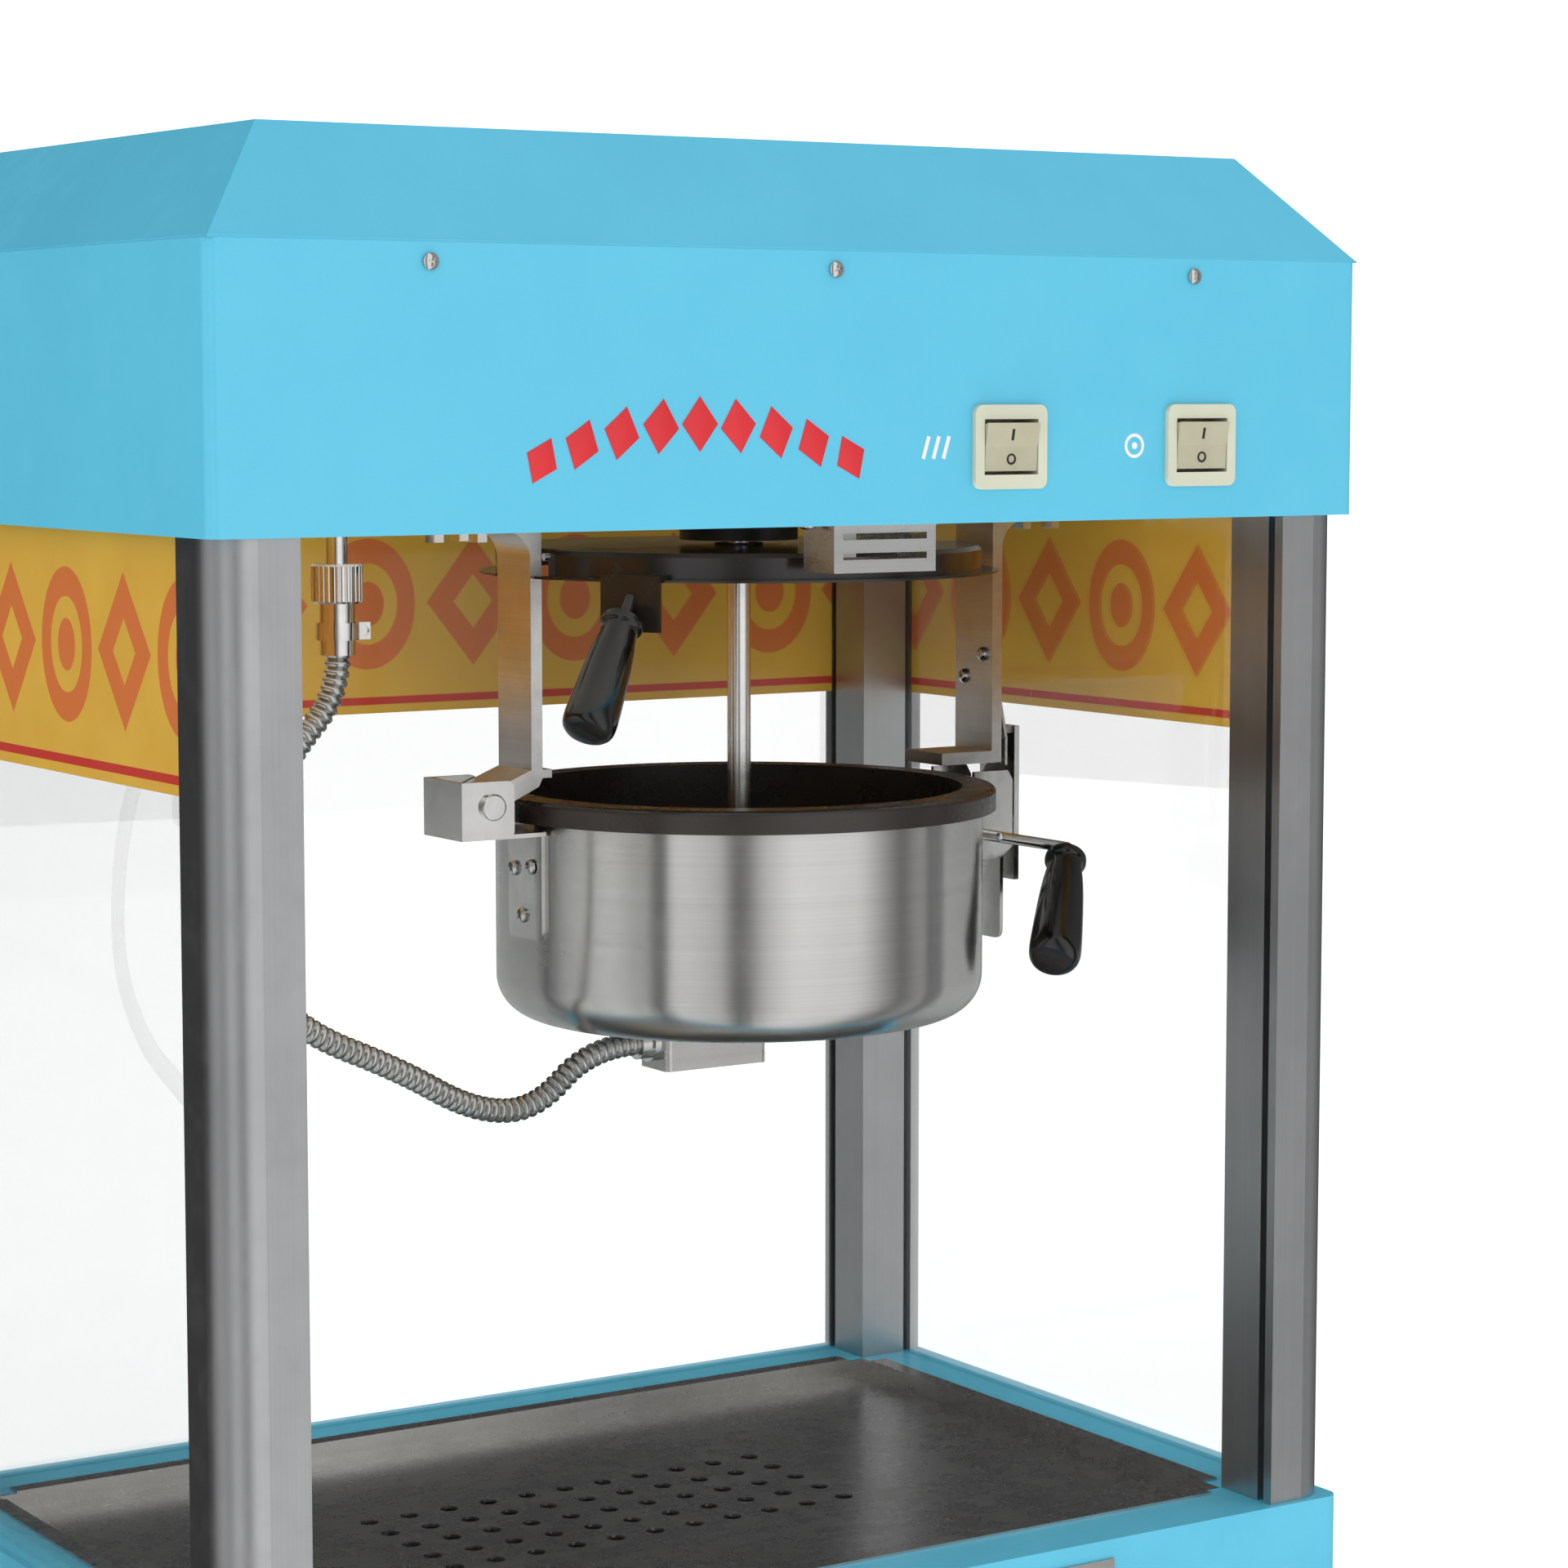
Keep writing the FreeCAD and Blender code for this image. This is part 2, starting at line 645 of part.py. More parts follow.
def make_lamp_guard():
    w, d = lamp_width / 2, lamp_depth / 2
    t = lamp_sheet
    shell = box(lamp_x - w, lamp_x + w, lamp_y - d, lamp_y + d, ceiling - lamp_height, ceiling)
    shell = shell.cut(box(lamp_x - w + t, lamp_x + w - t, lamp_y - d + t, lamp_y + d - t,
                          ceiling - lamp_height + t, ceiling + 1))
    ears = [box(lamp_x + s0, lamp_x + s1, lamp_y - d, lamp_y + d, ceiling - t, ceiling)
            for s0, s1 in ((-w - lamp_flange, -w + t), (w - t, w + lamp_flange))]
    body = joined([shell] + ears)
    for drop in (5.0, 14.0):
        body = body.cut(box(lamp_x - w + 5, lamp_x + w - 5, lamp_y - d - 1, lamp_y + d + 1,
                            ceiling - drop - 3, ceiling - drop))
    holes = [disc(at.x, at.y, ceiling - 5, ceiling + 1, screw_radius) for at in lamp_screw_places()]
    return without(body, holes)


def make_lamp_socket():
    x0 = lamp_x - lamp_width / 2 + lamp_sheet
    return box(x0, x0 + socket_length, lamp_y - 8, lamp_y + 8, ceiling - 16, ceiling)


def make_lamp():
    x0 = lamp_x - lamp_width / 2 + lamp_sheet + socket_length
    z = ceiling - 9
    tip = Vector(x0 + bulb_length, lamp_y, z)
    return joined([rod(Vector(x0, lamp_y, z), tip, bulb_radius), Part.makeSphere(bulb_radius, tip)])


# ---------------------------------------------------------------- drive
coupling_radius = 29.0
coupling_height = 12.0
motor_plate = 3.0
motor_z = ceiling + sheet + ceiling_thickness
drive_hole = 12.0
motor_screw_offsets = [(-34, -26), (34, -26), (-34, 26), (34, 26)]
shaft_top = ceiling + 40


def make_motor_bracket():
    x, y = kettle_x, kettle_y
    body = box(x - 45, x + 45, y - 36, y + 36, motor_z, motor_z + motor_plate)
    body = body.cut(disc(x, y, motor_z - 1, motor_z + motor_plate + 1, drive_hole))
    holes = [disc(x + dx, y + dy, motor_z - 1, motor_z + 9, screw_radius) for dx, dy in motor_screw_offsets]
    return without(body, holes)


def make_gearmotor():
    x, y, z = kettle_x, kettle_y, motor_z + motor_plate
    gearbox = rounded_box(x - 42, x + 42, y - 33, y + 33, z, z + 32, 8)
    field = rounded_box(x - 30, x + 30, y - 26, y + 26, z + 32, z + 70, 5)
    fan = disc(x, y, z + 70, z + 78, 24)
    body = joined([gearbox, field, fan])
    body = body.cut(disc(x, y, z - 1, shaft_top + 1, shaft_radius + shaft_clearance))
    holes = [disc(x + dx, y + dy, z - 1, z + 9, screw_radius) for dx, dy in motor_screw_offsets]
    return without(body, holes)


def make_drive_coupling():
    z1 = ceiling - 1
    body = tube(kettle_x, kettle_y, z1 - coupling_height, z1, coupling_radius, shaft_radius)
    return body


def make_stir_shaft():
    low = pan_floor + stirrer_gap + 3
    return disc(kettle_x, kettle_y, low, shaft_top, shaft_radius)


def make_stirrer():
    z = pan_floor + stirrer_gap
    hub_radius = shaft_radius + 5.25
    hub = disc(kettle_x, kettle_y, z, z + 22, hub_radius)
    hub = hub.cut(disc(kettle_x, kettle_y, z + 3, z + 23, shaft_radius))
    arms = []
    for angle, reach in ((12.0, stirrer_reach), (192.0, stirrer_reach - 8)):
        points = [(hub_radius - 3, z), (reach, z), (reach - 3, z + 3.5), (hub_radius - 3, z + 10)]
        arm = extruded_xz(points, -1.2, 1.2)
        foot = box(hub_radius - 3, reach, -5, 1.2, z, z + 1.5)
        arm = joined([arm, foot])
        arm.rotate(Vector(0, 0, 0), Vector(0, 0, 1), angle)
        arm.translate(Vector(kettle_x, kettle_y, 0))
        arms.append(arm)
    body = joined([hub] + arms)
    return body.cut(disc(kettle_x, kettle_y, z + 3, z + 23, shaft_radius))


# ---------------------------------------------------------------- lid
lid_top = ceiling - lid_drop + lid_crown
flange_z = ceiling - lid_drop
bush_radius = shaft_radius + 6.25
bush_bore = shaft_radius + 0.5
hinge_rod_radius = 1.8


def lid_body():
    t = lid_sheet
    r, w = lid_radius, lid_wall_radius
    z0, z1 = flange_z - t, lid_top
    profile = [Vector(bush_radius, 0, z1), Vector(w - 2, 0, z1), Vector(w, 0, z1 - 2), Vector(w, 0, z0 + t),
               Vector(r, 0, z0 + t), Vector(r, 0, z0), Vector(w - t, 0, z0), Vector(w - t, 0, z1 - 2 - t / 2),
               Vector(w - 2 - t / 2, 0, z1 - t), Vector(bush_radius, 0, z1 - t)]
    body = revolved(profile, kettle_x, kettle_y)
    for side in (-1, 1):
        notch = box(lid_notch_start, lid_radius + 5, -lid_notch, lid_notch, ceiling - 60, ceiling)
        if side < 0:
            notch = notch.mirror(Vector(0, 0, 0), Vector(1, 0, 0))
        notch.translate(Vector(kettle_x, kettle_y, 0))
        body = body.cut(notch)
    return body


def split_channel():
    """The gap along the split, with room for the hinge rod under the flange line."""
    y = kettle_y - lid_split
    slot = box(-999, 999, y - lid_split_gap / 2, y + lid_split_gap / 2, ceiling - 60, ceiling)
    rod_room = rod(Vector(-400, y, hinge_rod_z()), Vector(400, y, hinge_rod_z()), hinge_rod_radius)
    return slot.fuse(rod_room)


def hinge_rod_z():
    return lid_top - lid_sheet - hinge_rod_radius


def make_lid_half(front):
    y = kettle_y - lid_split
    half = box(-999, 999, -999, y, 0, 999) if front else box(-999, 999, y, 999, 0, 999)
    half_lid = lid_body().cut(split_channel()).common(half)
    if front:
        half_lid = half_lid.cut(disc(kettle_x, kettle_y, 0, 999, bush_radius + 3))
    return half_lid


def make_lid_hinge_rod():
    y, z = kettle_y - lid_split, hinge_rod_z()
    reach = lid_wall_radius + 1
    return rod(Vector(kettle_x - reach, y, z), Vector(kettle_x + reach, y, z), hinge_rod_radius)


def make_lid_bush():
    z1 = lid_top + 0.8
    return tube(kettle_x, kettle_y, lid_top - 14, z1, bush_radius, bush_bore)


lid_handle_angle = -55.0      # from straight forward, towards the left
tab_width = 30.0
tab_drop = 24.0
grip_slope = 50.0             # below level
grip_length = 59.0
grip_standoff = 12.0
tab_radius = lid_radius + 1.0


def lid_handle_frame(body):
    """Turns a piece drawn towards -Y round to the handle's direction and onto the kettle axis."""
    body.rotate(Vector(0, 0, 0), Vector(0, 0, 1), lid_handle_angle)
    body.translate(Vector(kettle_x, kettle_y, 0))
    return body


def grip_line():
    a = math.radians(grip_slope)
    out = Vector(0, -math.cos(a), -math.sin(a))
    start = Vector(0, -tab_radius - bracket_sheet, flange_z - 9)
    return start, out


def make_lid_handle_bracket():
    t = bracket_sheet
    w = tab_width / 2
    z = flange_z + t
    seat = box(-w, w, -tab_radius - t, -lid_wall_radius - 0.5, flange_z, z)
    tab = box(-w, w, -tab_radius - t, -tab_radius, flange_z - tab_drop, z)
    start, out = grip_line()
    stud = rod(start - out * 1.0, start + out * (grip_standoff + 3), 3.0)
    stud = stud.cut(box(-50, 50, -tab_radius, 0, 0, 999))
    return lid_handle_frame(joined([seat, tab, stud]))


def make_lid_grip():
    start, out = grip_line()
    base, end = start + out * grip_standoff, start + out * (grip_standoff + grip_length)
    body = cone(base, end, 9.5, 12.8)
    cap = rod(end, end + out * 5, 12.8)
    cap = cap.makeFillet(3.0, [max(cap.Edges, key=lambda edge: edge.CenterOfMass.sub(end).dot(out))])
    body = joined([body, cap])
    body = body.cut(rod(start, start + out * (grip_standoff + 3), 3.0))
    return lid_handle_frame(body)


# ---------------------------------------------------------------- kettle
lead_offset = 21.0            # kettle axis to the element's leads, towards the left
lead_gap = 6.0                # each lead from the middle plane


def make_kettle_shell():
    r, t = kettle_radius, shell_wall
    z0, z1 = shell_floor, rim_top - 3.5
    body = disc(kettle_x, kettle_y, z0, z1, r)
    low = min(body.Edges, key=lambda edge: edge.CenterOfMass.z)
    body = body.makeFillet(shell_corner, [low])
    core = disc(kettle_x, kettle_y, z0 + t, z1 + 1, r - t)
    low = min(core.Edges, key=lambda edge: edge.CenterOfMass.z)
    core = core.makeFillet(shell_corner - t, [low])
    body = body.cut(core)
    lead_hole = disc(kettle_x - lead_offset, kettle_y, z0 - 1, z0 + 5, lead_gap + 3)
    return without(body, [lead_hole] + kettle_screw_holes())


def make_kettle_pan():
    inner, t = pan_radius, pan_wall
    body = disc(kettle_x, kettle_y, pan_under, rim_top, inner + t)
    low = min(body.Edges, key=lambda edge: edge.CenterOfMass.z)
    body = body.makeFillet(pan_corner, [low])
    flange = disc(kettle_x, kettle_y, rim_top - 3, rim_top, rim_radius)
    bead = tube(kettle_x, kettle_y, rim_low, rim_top, rim_radius, kettle_radius + 0.4)
    body = joined([body, flange, bead])
    top = [edge for edge in body.Edges if abs(edge.CenterOfMass.z - rim_top) < 1e-3
           and abs(edge.Length - 2 * math.pi * rim_radius) < 1]
    body = body.makeFillet(2.5, top)
    cavity = disc(kettle_x, kettle_y, pan_floor, rim_top + 1, inner)
    low = min(cavity.Edges, key=lambda edge: edge.CenterOfMass.z)
    cavity = cavity.makeFillet(pan_corner - t, [low])
    return body.cut(cavity)


heater_radius = pan_radius + pan_wall - pan_corner - 4.0
heater_thickness = 8.0
element_radius = 4.0
element_ring = heater_radius - 26.0


def make_heater_plate():
    z1 = pan_under
    body = disc(kettle_x, kettle_y, z1 - heater_thickness, z1, heater_radius)
    middle = Vector(kettle_x, kettle_y, z1 - heater_thickness)
    return body.cut(Part.makeTorus(element_ring, element_radius + shaft_clearance, middle))


def make_heating_element():
    z = pan_under - heater_thickness
    ring = Part.makeTorus(element_ring, element_radius, Vector(kettle_x, kettle_y, z))
    x = kettle_x - lead_offset
    low = z - element_radius
    tails = [rod(Vector(x, kettle_y + dy, low - 16), Vector(x, kettle_y + dy, low + 1), 2.0)
             for dy in (-lead_gap, lead_gap)]
    far = kettle_x - element_ring + 2
    bars = [rod(Vector(x, kettle_y + dy, low - 1), Vector(far, kettle_y + dy, low - 1), 2.0)
            for dy in (-lead_gap, lead_gap)]
    return joined([ring] + bars + tails)


terminal_x0, terminal_x1 = kettle_x - 50.0, kettle_x + 8.0
terminal_depth = 26.0
terminal_height = 25.0
ear_screw = 7.0               # the box's end to the screw in its ear
gland_z = shell_floor - 11.5
gland_length = 10.0


def make_terminal_box():
    y0, y1 = kettle_y - terminal_depth / 2, kettle_y + terminal_depth / 2
    z0 = shell_floor - terminal_height
    t = lamp_sheet
    body = rounded_box(terminal_x0, terminal_x1, y0, y1, z0, shell_floor, 3)
    body = body.cut(box(terminal_x0 + t, terminal_x1 - t, y0 + t, y1 - t, z0 + t, shell_floor + 1))
    ear = box(terminal_x1 - t, terminal_x1 + 12, y0 + 4, y1 - 4, shell_floor - t, shell_floor)
    body = joined([body, ear])
    hole = rod(Vector(terminal_x0 - 1, kettle_y, gland_z), Vector(terminal_x0 + 3, kettle_y, gland_z), 4.0)
    screw_hole = disc(terminal_x1 + ear_screw, kettle_y, shell_floor - 2, shell_floor + 1, screw_radius)
    return without(body, [hole, screw_hole])


def make_conduit_gland():
    nose = Vector(terminal_x0 - gland_length, kettle_y, gland_z)
    wall = Vector(terminal_x0, kettle_y, gland_z)
    body = rod(nose, wall, conduit_radius + 2.0)
    nut = rod(wall - Vector(4, 0, 0), wall, conduit_radius + 3.5)
    spigot = rod(wall, wall + Vector(lamp_sheet + 3, 0, 0), 4.0)
    return joined([body, nut, spigot]).cut(rod(nose - Vector(1, 0, 0), wall + Vector(9, 0, 0), 3.0))


strap_drop = rim_low_drop + 56.0
strap_round = 5.0
side_strap_half = hanger_width / 2


def wall_strap(side, z0, z1, half):
    """A strip rolled to the shell's radius and lying against it."""
    ring = tube(0, 0, z0, z1, kettle_radius + bracket_sheet, kettle_radius)
    patch = box(0, 2 * kettle_radius, -half, half, z0, z1)
    low = [edge for edge in patch.Edges
           if all(abs(v.Point.z - z0) < 1e-6 for v in edge.Vertexes)
           and abs(edge.Vertexes[0].Point.y - edge.Vertexes[-1].Point.y) < 1e-6]
    strip = ring.common(patch.makeFillet(strap_round, low))
    if side < 0:
        strip = strip.mirror(Vector(0, 0, 0), Vector(1, 0, 0))
    strip.translate(Vector(kettle_x, kettle_y, 0))
    return strip


def kettle_screw_places():
    places = []
    left = ((-8, 21), (8, 23), (0, 45))
    right = ((-8, 41), (8, 41), (0, 52))
    for side, spots in ((-1, left), (1, right)):
        for dy, below_rim in spots:
            angle = math.asin(dy / kettle_radius)
            out = Vector(side * math.cos(angle), math.sin(angle), 0)
            at = Vector(kettle_x, kettle_y, rim_low - below_rim) + out * (kettle_radius + bracket_sheet)
            places.append((at, out))
    return places


def kettle_screw_holes():
    return [hole_for(at, out, screw_radius, 10) for at, out in kettle_screw_places()]


def make_kettle_screws():
    screws = [screw(at, out, screw_head, screw_head_height, screw_radius, bracket_sheet + shell_wall + 2)
              for at, out in kettle_screw_places()]
    bottom = Vector(terminal_x1 + ear_screw, kettle_y, shell_floor - lamp_sheet)
    screws.append(screw(bottom, (0, 0, -1), screw_head, screw_head_height, screw_radius, lamp_sheet))
    return group(screws)


bracket_round = 4.0
bracket_top = 12.0            # above the pivot
bracket_floor = rim_low_drop - pivot_drop + 3.5      # below the pivot, clear of the rim


def make_left_kettle_bracket():
    t = bracket_sheet
    half = hanger_width / 2 + ear_gap
    z0, z1 = pivot.z - bracket_floor, pivot.z + bracket_top
    x0 = pivot.x - 16
    x1 = x0 + 28
    floor_end = kettle_x - kettle_radius
    web = box(x0, x0 + t, kettle_y - half - t, kettle_y + half + t, z0 - t, z1)
    floor = box(x0, floor_end, kettle_y - half - t, kettle_y + half + t, z0 - t, z0)
    floor = floor.cut(disc(kettle_x, kettle_y, z0 - t - 1, z0 + 1, kettle_radius))
    ears = []
    for side in (-1, 1):
        ya, yb = sorted((kettle_y + side * half, kettle_y + side * (half + t)))
        ear = box(x0, x1, ya, yb, z0 - t, z1)
        ears.append(ear.makeFillet(bracket_round, level_edges(ear, x1, z1) + level_edges(ear, x1, z0 - t)))
    strap = wall_strap(-1, ceiling - strap_drop, z0, side_strap_half)
    body = joined([web, floor, strap] + ears)
    pin_hole = rod(pivot - Vector(0, 40, 0), pivot + Vector(0, 40, 0), pivot_radius)
    return without(body, [pin_hole] + kettle_screw_holes())


def make_pivot_pin():
    half = hanger_width / 2 + ear_gap + bracket_sheet
    front, back = kettle_y - half, kettle_y + half
    shank = rod(Vector(pivot.x, front, pivot.z), Vector(pivot.x, back + 5, pivot.z), pivot_radius)
    head = rod(Vector(pivot.x, front - 3, pivot.z), Vector(pivot.x, front, pivot.z), 6.3)
    head = head.makeFillet(1.0, [min(head.Edges, key=lambda edge: edge.CenterOfMass.y)])
    clip = rod(Vector(pivot.x, back, pivot.z), Vector(pivot.x, back + 1.5, pivot.z), 6.5)
    return joined([shank, head, clip])


def make_right_kettle_bracket():
    t = bracket_sheet
    half = hanger_width / 2 + ear_gap
    under_rim = rim_low_drop + 5
    beside_rim = rim_radius + 2.5
    top = foot_drop + hanger_thickness + 4
    outside = latch_x + 13
    low = latch_drop + 12
    strap = wall_strap(1, ceiling - strap_drop, ceiling - under_rim, half + t)
    ears = []
    for side in (-1, 1):
        ya, yb = sorted((kettle_y + side * half, kettle_y + side * (half + t)))
        points = [(kettle_radius - 2, low), (kettle_radius - 2, under_rim), (beside_rim, under_rim),
                  (beside_rim, top), (outside - 3, top), (outside, top + 5), (outside, low - 6),
                  (outside - 7, low)]
        ears.append(extruded_xz([(kettle_x + x, ceiling - drop) for x, drop in points], ya, yb))
    body = joined([strap] + ears)
    inside = disc(kettle_x, kettle_y, 0, 999, kettle_radius)
    bore = rod(latch - Vector(0, 40, 0), latch + Vector(0, 40, 0), rod_radius + rod_clearance)
    return without(body, [inside, bore] + kettle_screw_holes())


# ---------------------------------------------------------------- latch and its crank
latch_hub = 6.5
tooth_reach = 2.5
tooth_gap = 0.5               # catch strip to the latch's tooth
latch_arm_x = right_leg + hanger_thickness + catch_lean + tooth_gap + tooth_reach
latch_arm_sheet = 3.0
latch_arm_top = catch_bottom_drop - 20.0
latch_arm_low = latch_drop + 24.0
latch_tail_x = latch_x + 9.0
latch_tail_low = latch_drop + 54.0
crank_front = ear_outside + 7.0
grip_start = Vector(latch.x + 42.7, kettle_y - crank_front, latch.z - 8)
grip_way = Vector(-0.547, -0.607, -0.573).normalize()


def make_latch_arm():
    half = hanger_width / 2 - 2
    x0 = kettle_x + latch_arm_x
    arm = box(x0, x0 + latch_arm_sheet, kettle_y - half - 1, kettle_y + half + 1,
              ceiling - latch_arm_low, ceiling - latch_arm_top)
    z1 = ceiling - latch_arm_top
    tooth = box(x0 - tooth_reach, x0, kettle_y - 10, kettle_y + 10, z1 - 4, z1)
    web = box(latch.x, x0, kettle_y - half, kettle_y + half, latch.z - 1.5, latch.z + 1.5)
    hub = rod(Vector(latch.x, kettle_y - half, latch.z), Vector(latch.x, kettle_y + half, latch.z), latch_hub)
    bore = rod(latch - Vector(0, 40, 0), latch + Vector(0, 40, 0), rod_radius)
    tail_x = kettle_x + latch_tail_x
    tail_low = ceiling - latch_tail_low
    tail = box(tail_x, tail_x + bracket_sheet, kettle_y - half, kettle_y + half, tail_low, latch.z)
    ends = [edge for edge in tail.Edges
            if all(abs(v.Point.z - tail_low) < 1e-6 for v in edge.Vertexes)
            and abs(edge.Vertexes[0].Point.y - edge.Vertexes[-1].Point.y) < 1e-6]
    tail = tail.makeFillet(strap_round, ends)
    return joined([arm, tooth, web, hub, tail]).cut(bore)


def make_crank_rod():
    back = Vector(latch.x, kettle_y + ear_outside + 3, latch.z)
    front = Vector(latch.x, kettle_y - crank_front, latch.z)
    elbow = grip_start
    pieces = [rod(back, front, rod_radius), rod(front, elbow, rod_radius),
              rod(elbow, elbow + grip_way * 30, rod_radius),
              Part.makeSphere(rod_radius, front), Part.makeSphere(rod_radius, elbow)]
    return joined(pieces)


def make_crank_grip():
    base, end = grip_start + grip_way * 8, grip_start + grip_way * 80
    body = cone(base, end, 10.0, 13.4)
    cap = rod(end, end + grip_way * 5, 13.4)
    cap = cap.makeFillet(3.0, [max(cap.Edges, key=lambda edge: (edge.CenterOfMass - end).dot(grip_way))])
    body = joined([body, cap])
    return body.cut(rod(grip_start, grip_start + grip_way * 30, rod_radius))


# ---------------------------------------------------------------- conduit and its connector
nut_radius = 12.0
stem_radius = 5.0
stem_drop = 20.0
nut_drop = 38.0
ferrule_drop = 62.0


def make_kettle_socket():
    inside = disc(socket_x, socket_y, ceiling + sheet + ceiling_thickness, ceiling + 26, 14)
    stem = disc(socket_x, socket_y, ceiling - stem_drop, ceiling + 10, stem_radius)
    collar = disc(socket_x, socket_y, ceiling - 3, ceiling, 11)
    return joined([inside, stem, collar])


def make_knurled_nut():
    z0, z1 = ceiling - nut_drop, ceiling - stem_drop
    body = disc(socket_x, socket_y, z0, z1, nut_radius)
    ends = [edge for edge in body.Edges if len(edge.Vertexes) == 1]
    body = body.makeChamfer(1.0, ends)
    ribs, depth = 30, 0.9
    ring = nut_radius + depth * 0.6
    turns = [2 * math.pi * rib / ribs for rib in range(ribs)]
    cutters = [disc(socket_x + ring * math.cos(turn), socket_y + ring * math.sin(turn), z0 - 1, z1 + 1, depth)
               for turn in turns]
    return body.cut(Part.makeCompound(cutters))


def make_conduit_ferrule():
    z0, z1 = ceiling - ferrule_drop, ceiling - nut_drop
    body = disc(socket_x, socket_y, z0, z1, conduit_radius + 2.2)
    band = disc(socket_x, socket_y, z0 + 7, z0 + 15, conduit_radius + 4)
    lug = box(socket_x, socket_x + 15, socket_y - 4, socket_y + 4, z0 + 7, z0 + 15)
    body = joined([body, band, lug])
    bite = Vector(socket_x + 12, socket_y - 5, z0 + 11)
    return body.cut(rod(bite, bite + Vector(0, 2, 0), 2.4))


# The route hangs in the plane Y = kettle_y, as X from the kettle's axis and depth under the ceiling. Its points
# are chosen by hand: down from the connector, out to the left, and under the kettle to the gland.
conduit_route = [(-219.0, 62.0), (-219.0, 80.0), (-243.0, 106.0), (-272.0, 148.0), (-276.0, 198.0),
                 (-240.0, 236.0), (-190.0, 258.0), (-150.0, 282.0), (-116.0, 285.0), (-86.0, 257.5),
                 (-60.0, 257.5)]


def make_kettle_conduit():
    points = [Vector(kettle_x + x, kettle_y, ceiling - drop) for x, drop in conduit_route]
    return bent_tube(points, conduit_radius)


# ---------------------------------------------------------------- shared small screws
def make_panel_screws():
    screws = []
    for at, out in roof_screw_places():
        screws.append(screw(at, out, screw_head, screw_head_height, screw_radius, 3 * sheet))
    for at in lamp_screw_places():
        screws.append(screw(at, (0, 0, -1), screw_head, screw_head_height, screw_radius, 6))
    reach = hanger_thickness + catch_sheet
    for at in catch_screw_places():
        screws.append(screw(at, (-1, 0, 0), screw_head, screw_head_height, screw_radius, reach))
    for dx, dy in motor_screw_offsets:
        at = Vector(kettle_x + dx, kettle_y + dy, ceiling)
        reach = motor_z + motor_plate + 8 - ceiling
        screws.append(screw(at, (0, 0, -1), screw_head, screw_head_height, screw_radius, reach))
    return group(screws)


def ceiling_holes():
    holes = hanger_bolt_holes()
    holes.append(disc(kettle_x, kettle_y, ceiling - 1, ceiling + 9, drive_hole))
    holes.append(disc(socket_x, socket_y, ceiling - 1, ceiling + 9, stem_radius))
    holes += [disc(kettle_x + dx, kettle_y + dy, ceiling - 1, ceiling + 9, screw_radius)
              for dx, dy in motor_screw_offsets]
    holes += [disc(at.x, at.y, ceiling - 1, ceiling + 9, screw_radius) for at in lamp_screw_places()]
    return holes


def roof_holes():
    return [hole_for(at, out, screw_radius, 5) for at, out in roof_screw_places()]


# ---------------------------------------------------------------- every node
save("base_housing", make_base_housing())
save("base_feet", make_feet())
save("deck_tray", make_deck_tray())
save("crumb_drawer", make_crumb_drawer())
save("drawer_runners", make_drawer_runners())
for x_name, x_side in (("left", -1), ("right", 1)):
    for y_name, y_side in (("front", -1), ("rear", 1)):
        save("post_%s_%s" % (y_name, x_name), post_section(x_side, y_side, base_top, ceiling))
    save("glass_" + x_name, side_pane(x_side))
    save("banner_" + x_name, side_banner(x_side))
save("glass_rear", rear_pane())
save("banner_rear", rear_banner())
save("header_housing", without(make_header_housing(), roof_holes()))
save("ceiling_plate", make_ceiling_plate(ceiling_holes()))
save("roof_cover", without(make_roof_cover(), roof_holes()))
save("panel_screws", make_panel_screws())
for name, x in switch_xs.items():
    save(name + "_switch_bezel", switch_bezel(x))
    save(name + "_rocker", make_rocker(x))
save("power_inlet", make_power_inlet())
save("left_hanger", make_left_hanger())
save("right_hanger", make_right_hanger())
save("hanger_bolts", make_hanger_bolts())
save("catch_plate", make_catch_plate())
save("lamp_guard", make_lamp_guard())
save("lamp_socket", make_lamp_socket())
save("lamp", make_lamp())
save("motor_bracket", make_motor_bracket())
save("gearmotor", make_gearmotor())
save("drive_coupling", make_drive_coupling())
save("stir_shaft", make_stir_shaft())
save("stirrer", make_stirrer())
save("lid_front", make_lid_half(True))
save("lid_rear", make_lid_half(False))
save("lid_hinge_rod", make_lid_hinge_rod())
save("lid_bush", make_lid_bush())
save("lid_handle_bracket", make_lid_handle_bracket())
save("lid_grip", make_lid_grip())
save("kettle_shell", make_kettle_shell())
save("kettle_pan", make_kettle_pan())
save("heater_plate", make_heater_plate())
save("heating_element", make_heating_element())
save("terminal_box", make_terminal_box())
save("conduit_gland", make_conduit_gland())
save("left_kettle_bracket", make_left_kettle_bracket())
save("right_kettle_bracket", make_right_kettle_bracket())
save("kettle_screws", make_kettle_screws())
save("pivot_pin", make_pivot_pin())
save("latch_arm", make_latch_arm())
save("crank_rod", make_crank_rod())
save("crank_grip", make_crank_grip())
save("kettle_socket", make_kettle_socket())
save("knurled_nut", make_knurled_nut())
save("conduit_ferrule", make_conduit_ferrule())
save("kettle_conduit", make_kettle_conduit())
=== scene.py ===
# %% [markdown]
# # A countertop popcorn machine
# The engineer's model gives every sheet, post and bracket at its true size. This lesson adds what the eye
# looks for: brushed and painted metal, black moulded grips, printed films, screw heads and a ribbed conduit.

# %% Load the model that everything is built around
import math
import bpy
import bmesh
from mathutils import Matrix, Vector


